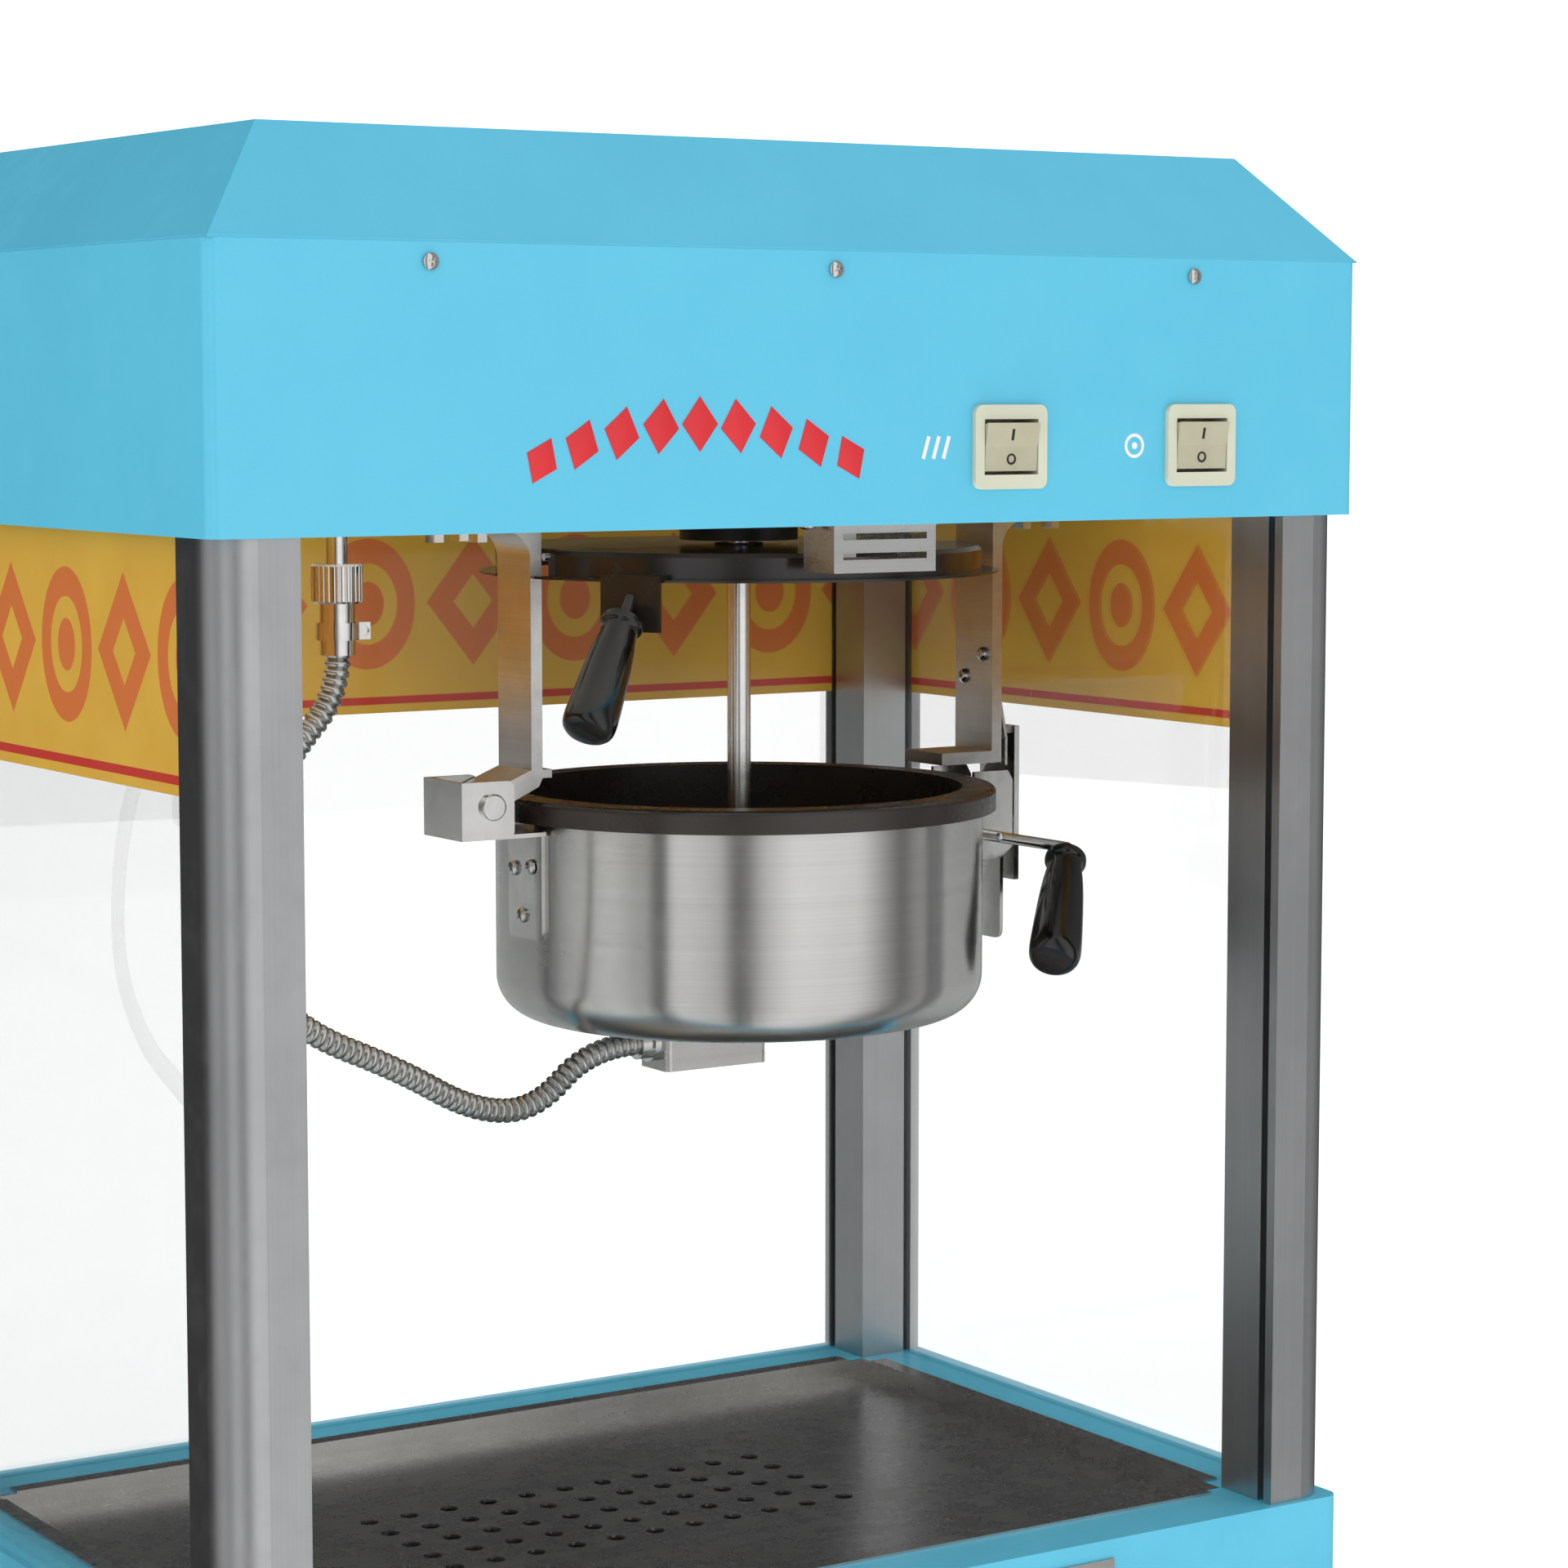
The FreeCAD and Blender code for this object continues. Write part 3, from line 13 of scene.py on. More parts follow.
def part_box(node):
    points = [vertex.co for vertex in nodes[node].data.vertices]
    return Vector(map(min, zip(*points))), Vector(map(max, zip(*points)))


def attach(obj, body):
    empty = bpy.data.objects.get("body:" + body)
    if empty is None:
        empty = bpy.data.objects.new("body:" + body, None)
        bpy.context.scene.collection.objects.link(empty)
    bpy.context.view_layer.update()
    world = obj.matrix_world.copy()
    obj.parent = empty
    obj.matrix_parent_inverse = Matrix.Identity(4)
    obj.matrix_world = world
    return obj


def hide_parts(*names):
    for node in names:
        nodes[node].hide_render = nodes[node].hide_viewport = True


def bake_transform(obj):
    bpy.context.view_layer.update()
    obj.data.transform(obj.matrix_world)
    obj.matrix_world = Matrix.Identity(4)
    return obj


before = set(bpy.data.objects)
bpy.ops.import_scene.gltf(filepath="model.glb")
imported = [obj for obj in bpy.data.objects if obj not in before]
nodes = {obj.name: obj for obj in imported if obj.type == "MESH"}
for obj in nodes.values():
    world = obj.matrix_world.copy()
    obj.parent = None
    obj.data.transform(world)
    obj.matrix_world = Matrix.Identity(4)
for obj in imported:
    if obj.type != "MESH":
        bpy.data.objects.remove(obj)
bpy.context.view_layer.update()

# %% [markdown]
# ## Camera
# A viewer stands at the front left, a little above the ceiling of the cabinet, and looks slightly down. A
# long lens keeps the uprights almost parallel. Placing the camera first lets each later piece be judged as it
# will be seen.

# %% Stand the camera at the front left
kettle_low, kettle_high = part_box("kettle_shell")
axis_x = (kettle_low.x + kettle_high.x) / 2
axis_y = (kettle_low.y + kettle_high.y) / 2
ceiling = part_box("glass_rear")[1].z
viewer_left, viewer_front, viewer_above = 1.0435, 1.6475, 0.0593
look_down, look_right = 5.65, 33
camera_data = bpy.data.cameras.new("camera")
camera_data.lens = 91.3
camera_data.sensor_width = 36.0
camera = bpy.data.objects.new("camera", camera_data)
camera.location = (axis_x - viewer_left, axis_y - viewer_front, ceiling + viewer_above)
camera.rotation_euler = (math.radians(90 - look_down), 0, math.radians(-look_right))
bpy.context.scene.collection.objects.link(camera)
bpy.context.scene.camera = camera
print("camera at", [round(v, 3) for v in camera.location])

# %% [markdown]
# ## Tools for the bench
# Each operator works on whatever is selected, so a helper clears the selection first. A second helper sinks a
# finished piece's place into its mesh, so that its object sits at the origin like every engineered part.

# %% Select one object, and finish a piece
def only(piece):
    bpy.ops.object.select_all(action="DESELECT")
    piece.select_set(True)
    bpy.context.view_layer.objects.active = piece


def apply_modifiers(piece):
    only(piece)
    for modifier in list(piece.modifiers):
        bpy.ops.object.modifier_apply(modifier=modifier.name)


def settle(piece, name, material, angle=35):
    """Applies place and modifiers, names the piece and gives it its finish."""
    apply_modifiers(piece)
    bpy.ops.object.transform_apply(location=True, rotation=True, scale=True)
    bpy.ops.object.shade_smooth_by_angle(angle=math.radians(angle))
    piece.name = name
    piece.data.materials.clear()
    piece.data.materials.append(material)
    return piece


def bevel(piece, width, segments=2, angle=40):
    modifier = piece.modifiers.new("bevel", "BEVEL")
    modifier.width = width
    modifier.segments = segments
    modifier.angle_limit = math.radians(angle)


def join(pieces, name):
    only(pieces[0])
    for piece in pieces:
        piece.select_set(True)
    bpy.ops.object.join()
    pieces[0].name = name
    return pieces[0]


# %% [markdown]
# A turned piece, such as a grip or a foot, is a short cylinder whose end face is extruded and resized step by
# step, as on a lathe. It is then turned to its direction and moved to its place.

# %% Turn a round piece from a list of distances and radii
def turned(steps, start, way, sides=48, round_edge=0.0006):
    (z0, r0), (z1, r1) = steps[0], steps[1]
    middle = (0, 0, (z0 + z1) / 2)
    bpy.ops.mesh.primitive_cylinder_add(vertices=sides, radius=r0, depth=z1 - z0, location=middle)
    piece = bpy.context.object
    bpy.ops.object.transform_apply(location=True, rotation=True, scale=True)
    bpy.ops.object.mode_set(mode="EDIT")
    bpy.ops.mesh.select_mode(type="FACE")
    bpy.ops.mesh.select_all(action="DESELECT")
    mesh = bmesh.from_edit_mesh(piece.data)
    top = max(mesh.faces, key=lambda face: face.calc_center_median().z)
    top.select = True
    bmesh.update_edit_mesh(piece.data)
    bpy.ops.transform.resize(value=(r1 / r0, r1 / r0, 1), center_override=(0, 0, z1))
    for (z_low, r_low), (z_high, r_high) in zip(steps[1:], steps[2:]):
        bpy.ops.mesh.extrude_region_move(TRANSFORM_OT_translate={"value": (0, 0, z_high - z_low)})
        bpy.ops.transform.resize(value=(r_high / r_low, r_high / r_low, 1), center_override=(0, 0, z_high))
    bpy.ops.object.mode_set(mode="OBJECT")
    if round_edge:
        bevel(piece, round_edge)
    piece.rotation_mode = "QUATERNION"
    piece.rotation_quaternion = Vector((0, 0, 1)).rotation_difference(Vector(way))
    piece.location = start
    return piece


# %% [markdown]
# ## Surface effects
# Three effects come back in many finishes, so each is a node group with named sockets: brushed streaks, fine
# grain, and the slow mottling of handling and old oil. A group gives out only masks and heights; the material
# decides what they do to its colour, its roughness and its bump.

# %% Build a node group from a list of inputs and outputs
def new_group(name, inputs, outputs):
    group = bpy.data.node_groups.new(name, "ShaderNodeTree")
    for label, kind, value in inputs:
        item = group.interface.new_socket(name=label, in_out="INPUT", socket_type=kind)
        if value is not None:
            item.default_value = value
    for label in outputs:
        group.interface.new_socket(name=label, in_out="OUTPUT", socket_type="NodeSocketFloat")
    return group, group.nodes.new("NodeGroupInput"), group.nodes.new("NodeGroupOutput")


def noise(tree, vector, scale, detail=2.0, rough=0.5):
    node = tree.nodes.new("ShaderNodeTexNoise")
    node.inputs["Detail"].default_value = detail
    node.inputs["Roughness"].default_value = rough
    if isinstance(scale, (int, float)):
        node.inputs["Scale"].default_value = scale
    else:
        tree.links.new(scale, node.inputs["Scale"])
    tree.links.new(vector, node.inputs["Vector"])
    return node.outputs["Fac"]


def stretch(tree, vector, low, high):
    node = tree.nodes.new("ShaderNodeMapRange")
    node.inputs["From Min"].default_value = low
    node.inputs["From Max"].default_value = high
    tree.links.new(vector, node.inputs["Value"])
    return node.outputs["Result"]


def math_node(tree, operation, a, b=None):
    node = tree.nodes.new("ShaderNodeMath")
    node.operation = operation
    for socket, value in zip(node.inputs, (a, b)):
        if value is None:
            continue
        if isinstance(value, (int, float)):
            socket.default_value = value
        else:
            tree.links.new(value, socket)
    return node.outputs["Value"]


# %% Brushed streaks: noise drawn out along one direction
streaks, inlet, outlet = new_group("brushed_streaks", [
    ("Vector", "NodeSocketVector", None), ("Stretch", "NodeSocketVector", (5, 5, 800))], ["Mask", "Height"])
scaled = streaks.nodes.new("ShaderNodeVectorMath")
scaled.operation = "MULTIPLY"
streaks.links.new(inlet.outputs["Vector"], scaled.inputs[0])
streaks.links.new(inlet.outputs["Stretch"], scaled.inputs[1])
fine = noise(streaks, scaled.outputs["Vector"], 1.0, 3.0, 0.6)
broad = noise(streaks, scaled.outputs["Vector"], 0.14, 1.0)
streaks.links.new(stretch(streaks, math_node(streaks, "ADD", fine, broad), 0.7, 1.3), outlet.inputs["Mask"])
streaks.links.new(fine, outlet.inputs["Height"])

# %% Fine grain, as on powder coat, moulded plastic and cast metal
grain, inlet, outlet = new_group("fine_grain", [
    ("Vector", "NodeSocketVector", None), ("Scale", "NodeSocketFloat", 900.0)], ["Height"])
grain.links.new(noise(grain, inlet.outputs["Vector"], inlet.outputs["Scale"]), outlet.inputs["Height"])

# %% Handling: slow mottling, smears and specks of old oil
handling, inlet, outlet = new_group("handling", [
    ("Vector", "NodeSocketVector", None), ("Scale", "NodeSocketFloat", 14.0)], ["Mottle", "Smear", "Specks"])
smears_per_mottle, specks_per_mottle = 3.3, 11.0
mottle_scale = inlet.outputs["Scale"]
mottle = noise(handling, inlet.outputs["Vector"], mottle_scale, 4.0, 0.6)
smear_scale = math_node(handling, "MULTIPLY", mottle_scale, smears_per_mottle)
smear = noise(handling, inlet.outputs["Vector"], smear_scale, 5.0, 0.7)
cells = handling.nodes.new("ShaderNodeTexVoronoi")
handling.links.new(inlet.outputs["Vector"], cells.inputs["Vector"])
handling.links.new(math_node(handling, "MULTIPLY", mottle_scale, specks_per_mottle), cells.inputs["Scale"])
handling.links.new(stretch(handling, mottle, 0.35, 0.65), outlet.inputs["Mottle"])
handling.links.new(stretch(handling, smear, 0.48, 0.72), outlet.inputs["Smear"])
handling.links.new(stretch(handling, cells.outputs["Distance"], 0.16, 0.10), outlet.inputs["Specks"])
print("node groups:", [group.name for group in bpy.data.node_groups])

# %% [markdown]
# ## Finishes
# One recipe makes every opaque finish: a base colour that drifts between two tints, specks, a roughness that
# follows the handling, and a bump from streaks or grain. The values tell paint from steel: two tints, a clean
# roughness, how much rougher a smear is, and then what is special to that finish.

# %% What the recipe is made of
def group_node(tree, group, vector, **values):
    node = tree.nodes.new("ShaderNodeGroup")
    node.node_tree = group
    tree.links.new(vector, node.inputs["Vector"])
    for label, value in values.items():
        node.inputs[label].default_value = value
    return node


# A mix node holds sockets for numbers, vectors and colours in one list. These are the places of its colours.
colour_a, colour_b, colour_out = 6, 7, 2


def blend_colour(tree, factor, a, b):
    node = tree.nodes.new("ShaderNodeMix")
    node.data_type = "RGBA"
    tree.links.new(factor, node.inputs["Factor"])
    for socket, value in ((node.inputs[colour_a], a), (node.inputs[colour_b], b)):
        if isinstance(value, tuple):
            socket.default_value = (*value, 1)
        else:
            tree.links.new(value, socket)
    return node.outputs[colour_out]


def new_material(name):
    material = bpy.data.materials.new(name)
    material.use_nodes = True
    return material, material.node_tree, material.node_tree.nodes["Principled BSDF"]


def smeared_roughness(tree, surface, touched, rough, rough_smear):
    """The surface is as rough as rough where it is clean, and rougher by rough_smear where it is smeared."""
    level = tree.nodes.new("ShaderNodeMapRange")
    level.inputs["To Min"].default_value = rough
    level.inputs["To Max"].default_value = rough + rough_smear
    tree.links.new(touched.outputs["Smear"], level.inputs["Value"])
    tree.links.new(level.outputs["Result"], surface.inputs["Roughness"])


# %% The recipe itself
line_shade = 0.62
coat_rough = 0.08
bump_strength = 0.35
quarter_turn = 0.25


def finish(name, light, dark, rough, rough_smear, metallic=0.0, brush=None, brush_depth=0.0, grain_scale=None,
           grain_depth=0.0, specks=None, speck_strength=0.0, coat=0.0, handling_scale=14.0, brush_tone=0.35,
           anisotropic=0.0):
    material, tree, surface = new_material(name)
    surface.inputs["Metallic"].default_value = metallic
    surface.inputs["Coat Weight"].default_value = coat
    surface.inputs["Coat Roughness"].default_value = coat_rough
    if anisotropic:
        surface.inputs["Anisotropic"].default_value = anisotropic
        surface.inputs["Anisotropic Rotation"].default_value = quarter_turn
        round_axis = tree.nodes.new("ShaderNodeTangent")
        round_axis.direction_type = "RADIAL"
        round_axis.axis = "Z"
        tree.links.new(round_axis.outputs["Tangent"], surface.inputs["Tangent"])
    where = tree.nodes.new("ShaderNodeTexCoord").outputs["Object"]
    touched = group_node(tree, handling, where, Scale=handling_scale)
    colour = blend_colour(tree, touched.outputs["Mottle"], light, dark)
    height = None
    if brush:
        lines = group_node(tree, streaks, where, Stretch=brush)
        toned = math_node(tree, "MULTIPLY", lines.outputs["Mask"], brush_tone)
        colour = blend_colour(tree, toned, colour, tuple(line_shade * c for c in dark))
        height, depth = lines.outputs["Height"], brush_depth
    elif grain_scale:
        dots = group_node(tree, grain, where, Scale=grain_scale)
        height, depth = dots.outputs["Height"], grain_depth
    if specks:
        amount = math_node(tree, "MULTIPLY", touched.outputs["Specks"], speck_strength)
        colour = blend_colour(tree, amount, colour, specks)
    tree.links.new(colour, surface.inputs["Base Color"])
    smeared_roughness(tree, surface, touched, rough, rough_smear)
    if height is not None:
        bump = tree.nodes.new("ShaderNodeBump")
        bump.inputs["Strength"].default_value = bump_strength
        bump.inputs["Distance"].default_value = depth
        tree.links.new(height, bump.inputs["Height"])
        tree.links.new(bump.outputs["Normal"], surface.inputs["Normal"])
    return material


# %% Painted and coated metals
header_blue = finish("header_blue", (0.104, 0.545, 0.755), (0.098, 0.525, 0.735), 0.30, 0.10,
                     grain_scale=1300, grain_depth=0.0002, coat=0.2)
base_blue = finish("base_blue", (0.110, 0.57, 0.78), (0.100, 0.535, 0.745), 0.32, 0.12,
                   grain_scale=1300, grain_depth=0.0002, coat=0.2, specks=(0.05, 0.2, 0.27),
                   speck_strength=0.05)
ceiling_white = finish("ceiling_white", (0.62, 0.62, 0.58), (0.54, 0.52, 0.46), 0.38, 0.2,
                       grain_scale=1100, grain_depth=0.0002, specks=(0.32, 0.2, 0.08), speck_strength=0.15)
lid_dark = finish("lid_dark", (0.009, 0.007, 0.006), (0.014, 0.010, 0.008), 0.20, 0.12, grain_scale=1500,
                  grain_depth=0.00005, coat=0.2, handling_scale=20)
pan_dark = finish("pan_dark", (0.021, 0.016, 0.013), (0.019, 0.014, 0.012), 0.27, 0.10, grain_scale=1600,
                  grain_depth=0.00006, handling_scale=9)
motor_grey = finish("motor_grey", (0.10, 0.105, 0.11), (0.07, 0.075, 0.08), 0.45, 0.2,
                    grain_scale=900, grain_depth=0.0003)

# %% [markdown]
# Brushing blurs a reflection across its lines and leaves it sharp along them. On the kettle the lines run
# round the shell, so its highlights become upright bands. The shader's anisotropy does that, turned by a
# tangent that runs round the upright axis.

# %% Bare metals
def metal(name, light, dark, rough, rough_smear, **special):
    return finish(name, light, dark, rough, rough_smear, metallic=1.0, **special)


kettle_steel = metal("kettle_steel", (0.63, 0.625, 0.61), (0.57, 0.565, 0.55), 0.22, 0.06,
                     brush=(2.5, 2.5, 1500), brush_depth=0.00004, brush_tone=0.22, handling_scale=9,
                     anisotropic=0.75)
sheet_steel = metal("sheet_steel", (0.62, 0.615, 0.60), (0.55, 0.54, 0.52), 0.27, 0.10,
                    brush=(5, 1100, 1100), brush_depth=0.00006, brush_tone=0.25)
zinc = metal("zinc", (0.70, 0.695, 0.68), (0.60, 0.59, 0.57), 0.13, 0.10, grain_scale=700,
             grain_depth=0.00003, handling_scale=30)
post_metal = metal("post_metal", (0.50, 0.505, 0.51), (0.45, 0.455, 0.46), 0.34, 0.08, brush=(900, 900, 2),
                   brush_depth=0.00005, brush_tone=0.15)
hanger_metal = metal("hanger_metal", (0.72, 0.715, 0.70), (0.62, 0.61, 0.59), 0.28, 0.12,
                     brush=(1100, 5, 1100), brush_depth=0.0001, brush_tone=0.3, handling_scale=26)
cast_metal = metal("cast_metal", (0.45, 0.45, 0.44), (0.36, 0.36, 0.35), 0.5, 0.2, grain_scale=500,
                   grain_depth=0.0006)
chrome = metal("chrome", (0.78, 0.78, 0.77), (0.68, 0.675, 0.66), 0.08, 0.12, grain_scale=900,
               grain_depth=0.00003, handling_scale=40)
conduit_steel = metal("conduit_steel", (0.56, 0.555, 0.54), (0.44, 0.435, 0.42), 0.20, 0.12,
                      grain_scale=900, grain_depth=0.00004, handling_scale=35)
rod_steel = metal("rod_steel", (0.80, 0.79, 0.77), (0.72, 0.71, 0.69), 0.20, 0.08, brush=(4, 4, 1400),
                  brush_depth=0.00004, brush_tone=0.15, anisotropic=0.5)

# %% Plastics, rubber and ceramic
grip_black = finish("grip_black", (0.003, 0.003, 0.003), (0.005, 0.004, 0.004), 0.12, 0.08, grain_scale=1200,
                    grain_depth=0.00003, coat=0.1, handling_scale=45)
moulded_black = finish("moulded_black", (0.012, 0.012, 0.012), (0.018, 0.017, 0.017), 0.42, 0.2,
                       grain_scale=900, grain_depth=0.0002)
rubber = finish("rubber", (0.025, 0.025, 0.025), (0.04, 0.04, 0.038), 0.7, 0.15, grain_scale=700,
                grain_depth=0.0005)
bezel_ivory = finish("bezel_ivory", (0.66, 0.68, 0.53), (0.61, 0.62, 0.48), 0.30, 0.12, grain_scale=1400,
                     grain_depth=0.00008)
switch_ivory = finish("switch_ivory", (0.47, 0.455, 0.325), (0.43, 0.41, 0.285), 0.30, 0.12, grain_scale=1400,
                      grain_depth=0.00008, specks=(0.25, 0.2, 0.1), speck_strength=0.08, handling_scale=50)
ceramic = finish("ceramic", (0.78, 0.76, 0.70), (0.66, 0.63, 0.56), 0.25, 0.2, grain_scale=600,
                 grain_depth=0.0001)
print_black = finish("print_black", (0.008, 0.008, 0.008), (0.012, 0.012, 0.012), 0.5, 0.1, grain_scale=1500,
                     grain_depth=0.00005)
print_white = finish("print_white", (0.86, 0.87, 0.87), (0.80, 0.81, 0.81), 0.35, 0.1, grain_scale=1500,
                     grain_depth=0.00005)
print_red = finish("print_red", (0.70, 0.022, 0.030), (0.64, 0.018, 0.026), 0.3, 0.10, grain_scale=1500,
                   grain_depth=0.00008)


# %% [markdown]
# Glass is a thin flat pane here. A full refraction through so many panes turns the inside dark, so light is
# let through by the pane's alpha, while its shader keeps a true glass reflection.

# %% Clear glass and the lamp's capsule
pane_handling = 9.0
glass_smear = 0.05
mottle_shade = 0.97


def clear(name, tint, alpha, rough):
    material, tree, surface = new_material(name)
    surface.inputs["Transmission Weight"].default_value = 1.0
    surface.inputs["IOR"].default_value = 1.45
    surface.inputs["Alpha"].default_value = alpha
    where = tree.nodes.new("ShaderNodeTexCoord").outputs["Object"]
    touched = group_node(tree, handling, where, Scale=pane_handling)
    smeared_roughness(tree, surface, touched, rough, glass_smear)
    mottled = tuple(mottle_shade * c for c in tint)
    tree.links.new(blend_colour(tree, touched.outputs["Mottle"], tint, mottled), surface.inputs["Base Color"])
    return material


pane_glass = clear("pane_glass", (0.90, 0.96, 0.94), 0.20, 0.01)
capsule_glass = clear("capsule_glass", (0.95, 0.93, 0.86), 0.5, 0.02)


# %% [markdown]
# The films behind the glass are printed ochre, with a band of bold orange-red shapes and a stripe under it.
# The pattern is worked out from the height and from the distance along the film: in each cell, a ring and a
# disc take turns with a diamond.

# %% Printed film
ink, stripe_ink = (0.60, 0.155, 0.032), (0.50, 0.035, 0.02)
cell = 0.062
shape_half_width = 1 / 2.25
shape_half_height = 0.034
band_middle = ceiling - 0.051
ring_hole, disc_edge, diamond_hole = 0.62, 0.34, 0.42
film_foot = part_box("banner_rear")[0].z
stripe_foot, stripe_top = film_foot + 0.0045, film_foot + 0.0085


def between(tree, value, low, high):
    """1 where the value is over low and under high, and 0 elsewhere."""
    return math_node(tree, "MULTIPLY", math_node(tree, "LESS_THAN", value, high),
                     math_node(tree, "GREATER_THAN", value, low))


def film(name, along):
    material = finish(name, (0.66, 0.39, 0.045), (0.62, 0.35, 0.038), 0.32, 0.1, grain_scale=1200,
                      grain_depth=0.0001)
    tree = material.node_tree
    surface = tree.nodes["Principled BSDF"]
    ochre = surface.inputs["Base Color"].links[0].from_socket
    where = tree.nodes.new("ShaderNodeTexCoord").outputs["Object"]
    split = tree.nodes.new("ShaderNodeSeparateXYZ")
    tree.links.new(where, split.inputs["Vector"])
    height = split.outputs["Z"]
    cells = math_node(tree, "DIVIDE", split.outputs[along], cell)
    off_middle = math_node(tree, "SUBTRACT", math_node(tree, "FRACT", cells), 0.5)
    u = math_node(tree, "DIVIDE", off_middle, shape_half_width)
    v = math_node(tree, "DIVIDE", math_node(tree, "SUBTRACT", height, band_middle), shape_half_height)
    pairs = math_node(tree, "FRACT", math_node(tree, "MULTIPLY", cells, 0.5))
    odd = math_node(tree, "GREATER_THAN", pairs, 0.5)
    even = math_node(tree, "SUBTRACT", 1.0, odd)
    squares = [math_node(tree, "MULTIPLY", side, side) for side in (u, v)]
    round_size = math_node(tree, "SQRT", math_node(tree, "ADD", *squares))
    diamond_size = math_node(tree, "ADD", math_node(tree, "ABSOLUTE", u), math_node(tree, "ABSOLUTE", v))
    ring = between(tree, round_size, ring_hole, 1.0)
    disc = math_node(tree, "LESS_THAN", round_size, disc_edge)
    diamond = between(tree, diamond_size, diamond_hole, 1.0)
    rounds = math_node(tree, "MULTIPLY", math_node(tree, "ADD", ring, disc), odd)
    diamonds = math_node(tree, "MULTIPLY", diamond, even)
    printed = blend_colour(tree, math_node(tree, "ADD", rounds, diamonds), ochre, ink)
    stripe = between(tree, height, stripe_foot, stripe_top)
    tree.links.new(blend_colour(tree, stripe, printed, stripe_ink), surface.inputs["Base Color"])
    return material


film_rear = film("film_rear", "X")
film_side = film("film_side", "Y")

# %% Give each engineered part its finish
finishes = {
    header_blue: ["header_housing", "roof_cover"],
    base_blue: ["base_housing"],
    ceiling_white: ["ceiling_plate"],
    sheet_steel: ["deck_tray", "crumb_drawer", "lamp_guard", "terminal_box", "catch_plate"],
    kettle_steel: ["kettle_shell"],
    rod_steel: ["stir_shaft", "stirrer", "lid_hinge_rod", "heating_element"],
    zinc: ["drawer_runners", "hanger_bolts", "motor_bracket", "left_kettle_bracket", "right_kettle_bracket",
           "pivot_pin", "latch_arm", "crank_rod", "panel_screws", "kettle_screws"],
    post_metal: ["post_front_left", "post_front_right", "post_rear_left", "post_rear_right"],
    hanger_metal: ["left_hanger", "right_hanger"],
    cast_metal: ["heater_plate"],
    chrome: ["kettle_socket", "knurled_nut", "conduit_ferrule", "conduit_gland"],
    motor_grey: ["gearmotor"],
    lid_dark: ["lid_front", "lid_rear", "lid_handle_bracket"],
    pan_dark: ["kettle_pan"],
    moulded_black: ["drive_coupling", "lid_bush", "power_inlet"],
    bezel_ivory: ["heat_switch_bezel", "motor_switch_bezel"],
    switch_ivory: ["heat_rocker", "motor_rocker"],
    ceramic: ["lamp_socket"],
    pane_glass: ["glass_left", "glass_right", "glass_rear"],
    capsule_glass: ["lamp"],
    film_rear: ["banner_rear"],
    film_side: ["banner_left", "banner_right"],
    rubber: ["base_feet"],
    grip_black: ["lid_grip", "crank_grip"],
    conduit_steel: ["kettle_conduit"],
}
for material, names in finishes.items():
    for name in names:
        nodes[name].data.materials.clear()
        nodes[name].data.materials.append(material)
print("finished", sum(len(names) for names in finishes.values()), "of", len(nodes), "parts")


# %% [markdown]
# ## The conduit
# The kettle's leads run in a flexible conduit: a steel strip wound into a tube with a fine rib at each turn.
# It could be a plain curve with a bevel, but then the ribs would only be shading. Instead a smooth spline
# gives the line, and rings are set along it, their radius swelling and shrinking once for every rib.

# %% The line that the conduit follows
# Each point is its distance in millimetres along X from the kettle's axis, and its drop below the ceiling.
conduit_radius = 0.006
rib_pitch, rib_depth = 0.0042, 0.0013
route = [(-219.0, 62.0), (-219.0, 80.0), (-243.0, 106.0), (-272.0, 148.0), (-276.0, 198.0), (-240.0, 236.0),
         (-190.0, 258.0), (-150.0, 282.0), (-116.0, 285.0), (-86.0, 257.5), (-60.0, 257.5)]
route = [Vector((axis_x + x / 1000, axis_y, ceiling - drop / 1000)) for x, drop in route]
line_data = bpy.data.curves.new("conduit_line", "CURVE")
line_data.dimensions = "3D"
line_data.resolution_u = 24
spline = line_data.splines.new("NURBS")
spline.points.add(len(route) - 1)
for point, place in zip(spline.points, route):
    point.co = (*place, 1)
spline.order_u = 3
spline.use_endpoint_u = True
line = bpy.data.objects.new("conduit_line", line_data)
bpy.context.scene.collection.objects.link(line)
bpy.context.view_layer.update()
sampled = bpy.data.meshes.new_from_object(line)
centres = [vertex.co.copy() for vertex in sampled.vertices]
bpy.data.objects.remove(line)


# %% Rings along the line, six to a rib
def along_line(points, step):
    """Points a fixed step apart along a polyline, its two ends kept."""
    spaced, travelled, target = [points[0]], 0.0, step
    for a, b in zip(points, points[1:]):
        run = (b - a).length
        while run > 0 and travelled + run >= target:
            spaced.append(a.lerp(b, (target - travelled) / run))
            target += step
        travelled += run
    if (spaced[-1] - points[-1]).length > step / 2:
        spaced.append(points[-1])
    else:
        spaced[-1] = points[-1]
    return spaced


